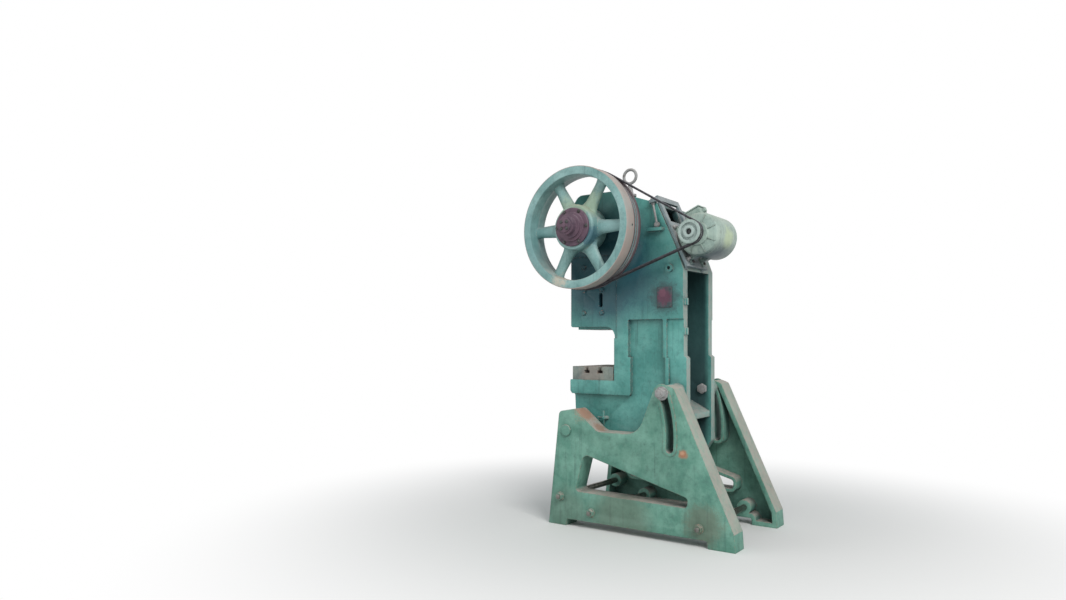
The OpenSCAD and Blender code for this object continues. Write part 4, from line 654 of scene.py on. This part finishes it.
# A bolt's head is made 1 high and with a radius of 1 at its corners, and the points scale it
def hexBoltTree(spec):
    tree, given = startTree("hexBolts", spec["sizes"])
    starts = spec["crownStarts"]
    hexagon = put(tree, "GeometryNodeMeshCylinder", {
        "Vertices": 6, "Radius": 1.0, "Depth": starts})
    body = put(tree, "GeometryNodeTransform", {
        "Geometry": hexagon, "Translation": (0, 0, starts / 2)})
    cone = put(tree, "GeometryNodeMeshCone", {
        "Vertices": spec["crownFacets"], "Radius Top": given["Crown Radius"],
        "Radius Bottom": math.cos(math.pi / 6), "Depth": 1 - starts})
    crown = put(tree, "GeometryNodeTransform", {
        "Geometry": cone, "Translation": (0, 0, starts)})
    disc = put(tree, "GeometryNodeMeshCylinder", {
        "Vertices": spec["washerFacets"], "Radius": given["Washer Radius"],
        "Depth": given["Washer Top"]})
    half = put(tree, "ShaderNodeMath", [given["Washer Top"], 0.5], operation="MULTIPLY")
    lift = put(tree, "ShaderNodeCombineXYZ", {"Z": half})
    washer = put(tree, "GeometryNodeTransform", {"Geometry": disc, "Translation": lift})
    head = put(tree, "GeometryNodeJoinGeometry", {"Geometry": [body, crown, washer]})

    axis, size = [put(tree, "GeometryNodeInputNamedAttribute", {"Name": label},
                      data_type="FLOAT_VECTOR") for label in ("axis", "size")]
    stood = put(tree, "FunctionNodeAlignRotationToVector", {"Vector": axis}, axis="Z")
    chance = put(tree, "FunctionNodeRandomValue", {
        2: 0.0, 3: math.pi / 3, "Seed": given["Turn Seed"]}, data_type="FLOAT")
    angle = put(tree, "FunctionNodeAxisAngleToRotation", {"Angle": chance})
    turned = put(tree, "FunctionNodeRotateRotation", {"Rotation": stood, "Rotate By": angle},
                 rotation_space="LOCAL")
    bolts = put(tree, "GeometryNodeInstanceOnPoints", {
        "Points": given["Geometry"], "Instance": head, "Rotation": turned, "Scale": size})
    endTree(tree, bolts, given)
    return tree


# The corners of each bolt, gathered in the mesh's own order so that every run gives the same
def looseParts(nodeName):
    work = mergedMesh(nodeName)
    seen = set()
    parts = []
    for first in work.verts:
        if first in seen:
            continue
        seen.add(first)
        queue = [first]
        part = []
        while queue:
            corner = queue.pop()
            part.append(corner.co.copy())
            for edge in corner.link_edges:
                other = edge.other_vert(corner)
                if other not in seen:
                    seen.add(other)
                    queue.append(other)
        parts.append(part)
    work.free()
    return sorted(parts, key=lambda part: tuple(round(min(v[i] for v in part), 4)
                                                for i in range(3)))


def boltAxis(part, wanted, spec):
    if wanted == "outwards":
        return Vector((math.copysign(1, part[0].x), 0, 0))
    if wanted == "slope":
        lean = math.radians(spec["slopeDegrees"])
        return Vector((0, math.sin(lean), math.cos(lean)))
    return Vector(wanted)


# Where each bolt's head stands on its seat, and how wide and high it is
def boltPoints(nodeName, spec):
    places, axes, sizes = [], [], []
    for part in looseParts(nodeName):
        axis = boltAxis(part, spec["axisOf"][nodeName], spec)
        top = max(v.dot(axis) for v in part)
        face = [v for v in part if v.dot(axis) > top - spec["faceDepth"]]
        centre = sum(face, Vector()) / len(face)
        radius = max((v - centre).length for v in face)
        seat = top
        for v in part:
            aside = (v - centre - axis * (v - centre).dot(axis)).length
            if aside > spec["headShare"] * radius:
                seat = min(seat, v.dot(axis))
        places.append(centre - axis * (top - seat))
        axes.append(axis)
        sizes.append(Vector((radius, radius, top - seat)))
    mesh = bpy.data.meshes.new(nodeName + "Points")
    mesh.from_pydata([tuple(p) for p in places], [], [])
    for label, values in (("axis", axes), ("size", sizes)):
        layer = mesh.attributes.new(label, "FLOAT_VECTOR", "POINT")
        for item, value in zip(layer.data, values):
            item.vector = value
    return mesh


boltTree = hexBoltTree(hexBolt)
for boltNode in hexBolt["axisOf"]:
    bolts = growPiece(boltNode + "Hex", boltPoints(boltNode, hexBolt), boltTree,
                      hexBolt["sizes"], boltNode)
    dress(bolts, boltNode, sharpDegrees=25)
print("bolts stood:", len(hexBolt["axisOf"]))


# Flywheel: rim and hub turned about the crank's axis, spokes that flare into both, one casting
flywheel = {
    "sizes": {"Turning Radius": 0.2, "Facets": 160, "Spoke Count": 6, "Spoke From": 0.134,
              "Spoke To": 0.350, "Width At Hub": 0.048, "Width At Rim": 0.0335,
              "Thickness": 0.6, "Flare": 0.42, "Flare Reach": 0.3, "Arris": 0.004,
              "Hole Radius": 0.0095},
    "axis": (-0.43, 1.948),                 # y and z of the crank
    "back": 0.286, "front": 0.466, "outer": 0.398, "inner": 0.342,
    "innerAtBack": 0.356, "innerAtFront": 0.343,
    "rimBelly": [(0.012, -0.003), (-0.02, 0.008)],      # from the middle, from inner
    "hubRadius": 0.150, "boreRadius": 0.0606, "hubFront": 0.468, "hubChamfer": (0.014, 0.009),
    "grooves": (0.324, 0.349), "grooveHalf": 0.0096, "grooveFoot": 0.0048, "grooveDeep": 0.014,
    "arrisSteps": 3, "spokeFacets": 36, "spokeRings": 28, "flarePower": 2.6,
    "holeAt": (0.3976, 0.395, -0.012),      # x, then y and z from the axis
    "holeDepth": 0.04, "holeFacets": 24,
    "sharpDegrees": 32,
}


def flywheelProfile(spec):
    back, front, radius = spec["back"], spec["front"], spec["outer"]
    rim = [(back, spec["innerAtBack"]), (back, radius)]
    for middle in spec["grooves"]:
        foot = radius - spec["grooveDeep"]
        rim += [(middle - spec["grooveHalf"], radius), (middle - spec["grooveFoot"], foot),
                (middle + spec["grooveFoot"], foot), (middle + spec["grooveHalf"], radius)]
    rim += [(front, radius), (front, spec["innerAtFront"])]
    rim += [((back + front) / 2 + x, spec["inner"] + r) for x, r in spec["rimBelly"]]
    long, deep = spec["hubChamfer"]
    hub = [(back, spec["boreRadius"]), (back, spec["hubRadius"]),
           (spec["hubFront"] - long, spec["hubRadius"]),
           (spec["hubFront"], spec["hubRadius"] - deep), (spec["hubFront"], spec["boreRadius"])]
    points, edges = [], []
    for loop in (rim, hub):
        start = len(points)
        points += [(x, r - spec["sizes"]["Turning Radius"], 0) for x, r in loop]
        edges += [(start + i, start + (i + 1) % len(loop)) for i in range(len(loop))]
    mesh = bpy.data.meshes.new("flywheelProfile")
    mesh.from_pydata(points, edges, [])
    return mesh


def flywheelTree(spec):
    tree, given = startTree("castFlywheel", spec["sizes"])
    quarter = math.pi / 2
    circle = put(tree, "GeometryNodeCurvePrimitiveCircle", {
        "Resolution": given["Facets"], "Radius": given["Turning Radius"]})
    upright = put(tree, "GeometryNodeTransform", {
        "Geometry": circle, "Rotation": (0, quarter, 0)})
    profile = put(tree, "GeometryNodeMeshToCurve", {"Mesh": given["Geometry"]})
    turned = sweepProfile(tree, upright, profile, given["Arris"], spec["arrisSteps"])

    # a spoke is a unit cylinder whose radius follows its height: tapered, flared at both roots
    blank = put(tree, "GeometryNodeMeshCylinder", {
        "Vertices": spec["spokeFacets"], "Side Segments": spec["spokeRings"], "Radius": 1.0,
        "Depth": 1.0})
    at = put(tree, "ShaderNodeSeparateXYZ", [put(tree, "GeometryNodeInputPosition")]).outputs
    along = put(tree, "ShaderNodeMath", [at["Z"], 0.5], operation="ADD")
    taper = put(tree, "ShaderNodeMapRange", {
        "Value": along, "To Min": given["Width At Hub"], "To Max": given["Width At Rim"]})
    back = put(tree, "ShaderNodeMath", [1.0, along], operation="SUBTRACT")
    fromEnd = put(tree, "ShaderNodeMath", [along, back], operation="MINIMUM")
    near = put(tree, "ShaderNodeMapRange", {
        "Value": fromEnd, "From Max": given["Flare Reach"], "To Min": 1.0, "To Max": 0.0})
    flare = put(tree, "ShaderNodeMath", [near, spec["flarePower"]], operation="POWER")
    flare = put(tree, "ShaderNodeMath", [flare, given["Flare"], 1.0], operation="MULTIPLY_ADD")
    wide = put(tree, "ShaderNodeMath", [taper, flare], operation="MULTIPLY")
    thick = put(tree, "ShaderNodeMath", [wide, given["Thickness"]], operation="MULTIPLY")
    length = put(tree, "ShaderNodeMath", [given["Spoke To"], given["Spoke From"]],
                 operation="SUBTRACT")
    shaped = put(tree, "ShaderNodeCombineXYZ", [
        put(tree, "ShaderNodeMath", [at["X"], thick], operation="MULTIPLY"),
        put(tree, "ShaderNodeMath", [at["Y"], wide], operation="MULTIPLY"),
        put(tree, "ShaderNodeMath", [along, length, given["Spoke From"]],
            operation="MULTIPLY_ADD")])
    spoke = put(tree, "GeometryNodeSetPosition", {"Geometry": blank, "Position": shaped})
    spokes = repeatAroundX(tree, spoke, given["Spoke Count"], quarter)
    placed = put(tree, "GeometryNodeTransform", {
        "Geometry": spokes, "Translation": ((spec["back"] + spec["front"]) / 2, 0, 0)})
    placed = put(tree, "GeometryNodeRealizeInstances", {"Geometry": placed})

    whole = put(tree, "GeometryNodeMeshBoolean", {
        "Mesh 2": [turned, placed], "Self Intersection": True}, operation="UNION",
        solver="EXACT")
    drill = put(tree, "GeometryNodeMeshCylinder", {
        "Vertices": spec["holeFacets"], "Radius": given["Hole Radius"],
        "Depth": spec["holeDepth"]})
    hole = put(tree, "GeometryNodeTransform", {
        "Geometry": drill, "Translation": spec["holeAt"], "Rotation": (quarter, 0, 0)})
    cut = put(tree, "GeometryNodeMeshBoolean", {"Mesh 1": whole, "Mesh 2": hole},
              operation="DIFFERENCE", solver="EXACT")
    stood = put(tree, "GeometryNodeTransform", {
        "Geometry": cut, "Translation": (0, *spec["axis"])})
    endTree(tree, stood, given)
    return tree


wheel = growPiece("flywheelCasting", flywheelProfile(flywheel), flywheelTree(flywheel),
                  flywheel["sizes"], "flywheel")
dress(wheel, "flywheel", sharpDegrees=flywheel["sharpDegrees"])
print("flywheel cast:", len(wheel.data.polygons), "faces")


# V-belts: a wedge with rounded corners drawn round both pulleys
beltDrive = {
    "sizes": {"Corner": 0.0012},
    "large": (-0.43, 1.948, 0.4005), "small": (0.329247, 1.868646, 0.075),  # y, z, radius
    "middles": (0.324, 0.349), "topHalf": 0.0085, "footHalf": 0.0047, "deep": 0.011,
    "arcStep": 4.0,             # degrees
    "cornerSteps": 2, "sharpDegrees": 50,
}


def beltPath(spec):
    (y0, z0, r0), (y1, z1, r1) = spec["large"], spec["small"]
    lean = math.atan2(z1 - z0, y1 - y0)
    leaves = math.acos((r0 - r1) / math.hypot(y1 - y0, z1 - z0))
    flatPath = []
    for y, z, r, start, end in ((y0, z0, r0, lean + leaves, lean + math.tau - leaves),
                                (y1, z1, r1, lean - leaves, lean + leaves)):
        steps = max(2, round(math.degrees(end - start) / spec["arcStep"]))
        for i in range(steps + 1):
            angle = start + (end - start) * i / steps
            flatPath.append((y + r * math.cos(angle), z + r * math.sin(angle)))
    points, edges = [], []
    for x in spec["middles"]:
        start = len(points)
        points += [(x, y, z) for y, z in flatPath]
        edges += [(start + i, start + (i + 1) % len(flatPath)) for i in range(len(flatPath))]
    mesh = bpy.data.meshes.new("beltPath")
    mesh.from_pydata(points, edges, [])
    return mesh


def beltTree(spec):
    tree, given = startTree("wedgeBelts", spec["sizes"])
    line = put(tree, "GeometryNodeMeshToCurve", {"Mesh": given["Geometry"]})
    wedge = put(tree, "GeometryNodeCurvePrimitiveQuadrilateral", {
        "Point 1": (-spec["topHalf"], 0, 0), "Point 2": (-spec["footHalf"], -spec["deep"], 0),
        "Point 3": (spec["footHalf"], -spec["deep"], 0), "Point 4": (spec["topHalf"], 0, 0)},
        mode="POINTS")
    belts = sweepProfile(tree, line, wedge, given["Corner"], spec["cornerSteps"])
    endTree(tree, belts, given)
    return tree


belts = growPiece("wedgeBelts", beltPath(beltDrive), beltTree(beltDrive), beltDrive["sizes"],
                  "v_belts")
dress(belts, "v_belts", sharpDegrees=beltDrive["sharpDegrees"])
print("belts drawn")


# Motor: cast ribs on the end shields, repeated round the shaft
shieldRib = {
    "sizes": {"Rib Count": 8, "First Angle": 22.5},
    "motorAxis": (0.329247, 1.868646),
    "thick": 0.008, "faces": (0.196, -0.054), "rounding": 0.0015, "roundingSteps": 2,
    "outline": [(0.010, 0.070), (0.055, 0.070), (0.0545, 0.080), (0.034, 0.1235),
                (0.010, 0.1235)],           # along the shaft from the face, and out from it
}


def ribTree(spec):
    tree, given = startTree("shieldRibs", spec["sizes"])
    first = put(tree, "ShaderNodeMath", [given["First Angle"]], operation="RADIANS")
    ribs = repeatAroundX(tree, given["Geometry"], given["Rib Count"], first)
    placed = put(tree, "GeometryNodeTransform", {
        "Geometry": ribs, "Translation": (0, *spec["motorAxis"])})
    endTree(tree, placed, given)
    return tree


def ribMesh(spec):
    work = bmesh.new()
    half = spec["thick"] / 2
    for face, way in zip(spec["faces"], (1, -1)):
        left, right = [[work.verts.new((face + way * x, y, r)) for x, r in spec["outline"]]
                       for y in (-half, half)]
        work.faces.new(left)
        work.faces.new(right)
        for i in range(len(left)):
            after = (i + 1) % len(left)
            work.faces.new((left[i], left[after], right[after], right[i]))
    bmesh.ops.recalc_face_normals(work, faces=work.faces)
    bmesh.ops.bevel(work, geom=work.edges[:], offset=spec["rounding"],
                    segments=spec["roundingSteps"], affect="EDGES")
    mesh = bpy.data.meshes.new("shieldRib")
    work.to_mesh(mesh)
    work.free()
    return mesh


ribs = growPiece("shieldRibs", ribMesh(shieldRib), ribTree(shieldRib), shieldRib["sizes"],
                 "end_shields")
dress(ribs, "end_shields", standsForNode=False)
print("shield ribs placed")

shownInPieces = {name for piece in bpy.data.objects for name in piece.get("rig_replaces", [])}
for name, node in nodes.items():
    if name not in shownInPieces:
        node.data.materials.clear()
        node.data.materials.append(materialFor(name))
print("carried-over solids painted:", len(nodes) - len(shownInPieces))


# Stage: pale floor that fades to the white background, and a soft daylight from the rear
# right, where the photograph has its sun
studio = {
    "floor": "#E8E7E4", "floorRoughness": 0.9, "halfFloor": 14.0,
    "fade": (0.9, 3.4),         # metres from the origin where the floor turns to background
    "background": "#FFFFFF", "skyColour": "#EAF0F5", "sky": 0.52,
    "lampSize": 3.0, "lampsAimAt": (0, 0, 1.2),
    "lamps": {"keyLight": {"place": (3.6, 4.6, 5.6), "watts": 330},
              "fillLight": {"place": (4.5, -4.0, 3.0), "watts": 50}},
}


# Seen by the camera and in reflections, so that metal shows the background too
def seenStraight(tree):
    path = put(tree, "ShaderNodeLightPath").outputs
    return put(tree, "ShaderNodeMath", [path["Is Camera Ray"], path["Is Glossy Ray"]],
               operation="MAXIMUM")


def addFloor(spec):
    half = spec["halfFloor"]
    floorMesh = bpy.data.meshes.new("studioFloor")
    floorMesh.from_pydata([(-half, -half, 0), (half, -half, 0), (half, half, 0),
                           (-half, half, 0)], [], [(0, 1, 2, 3)])
    floor = bpy.data.objects.new("studioFloor", floorMesh)
    bpy.context.collection.objects.link(floor)
    material, tree = blankMaterial("paleStudioFloor")
    place = put(tree, "ShaderNodeTexCoord").outputs["Object"]
    away = put(tree, "ShaderNodeVectorMath", [place], operation="LENGTH")
    fade = put(tree, "ShaderNodeMapRange", [away, *spec["fade"]],
               interpolation_type="SMOOTHSTEP")
    seen = put(tree, "ShaderNodeMath", [fade, seenStraight(tree)], operation="MULTIPLY")
    matt = put(tree, "ShaderNodeBsdfPrincipled", {
        "Base Color": spec["floor"], "Roughness": spec["floorRoughness"]})
    white = put(tree, "ShaderNodeEmission", {"Color": spec["background"], "Strength": 1.0})
    both = put(tree, "ShaderNodeMixShader", [seen, matt, white])
    put(tree, "ShaderNodeOutputMaterial", {"Surface": both})
    floorMesh.materials.append(material)


def addLight(spec):
    world = bpy.data.worlds.new("softSky")
    bpy.context.scene.world = world
    world.use_nodes = True
    tree = world.node_tree
    tree.nodes.clear()
    sky = put(tree, "ShaderNodeBackground", {
        "Color": spec["skyColour"], "Strength": spec["sky"]})
    shown = put(tree, "ShaderNodeBackground", {"Color": spec["background"], "Strength": 1.0})
    both = put(tree, "ShaderNodeMixShader", [seenStraight(tree), sky, shown])
    put(tree, "ShaderNodeOutputWorld", {"Surface": both})
    for name, facts in spec["lamps"].items():
        data = bpy.data.lights.new(name, "AREA")
        data.size = spec["lampSize"]
        data.energy = facts["watts"]
        lamp = bpy.data.objects.new(name, data)
        lamp.location = facts["place"]
        aim = Vector(spec["lampsAimAt"]) - Vector(facts["place"])
        lamp.rotation_euler = aim.to_track_quat("-Z", "Y").to_euler()
        bpy.context.collection.objects.link(lamp)


addFloor(studio)
addLight(studio)
bpy.context.scene.view_settings.view_transform = "Standard"
print("stage lit")
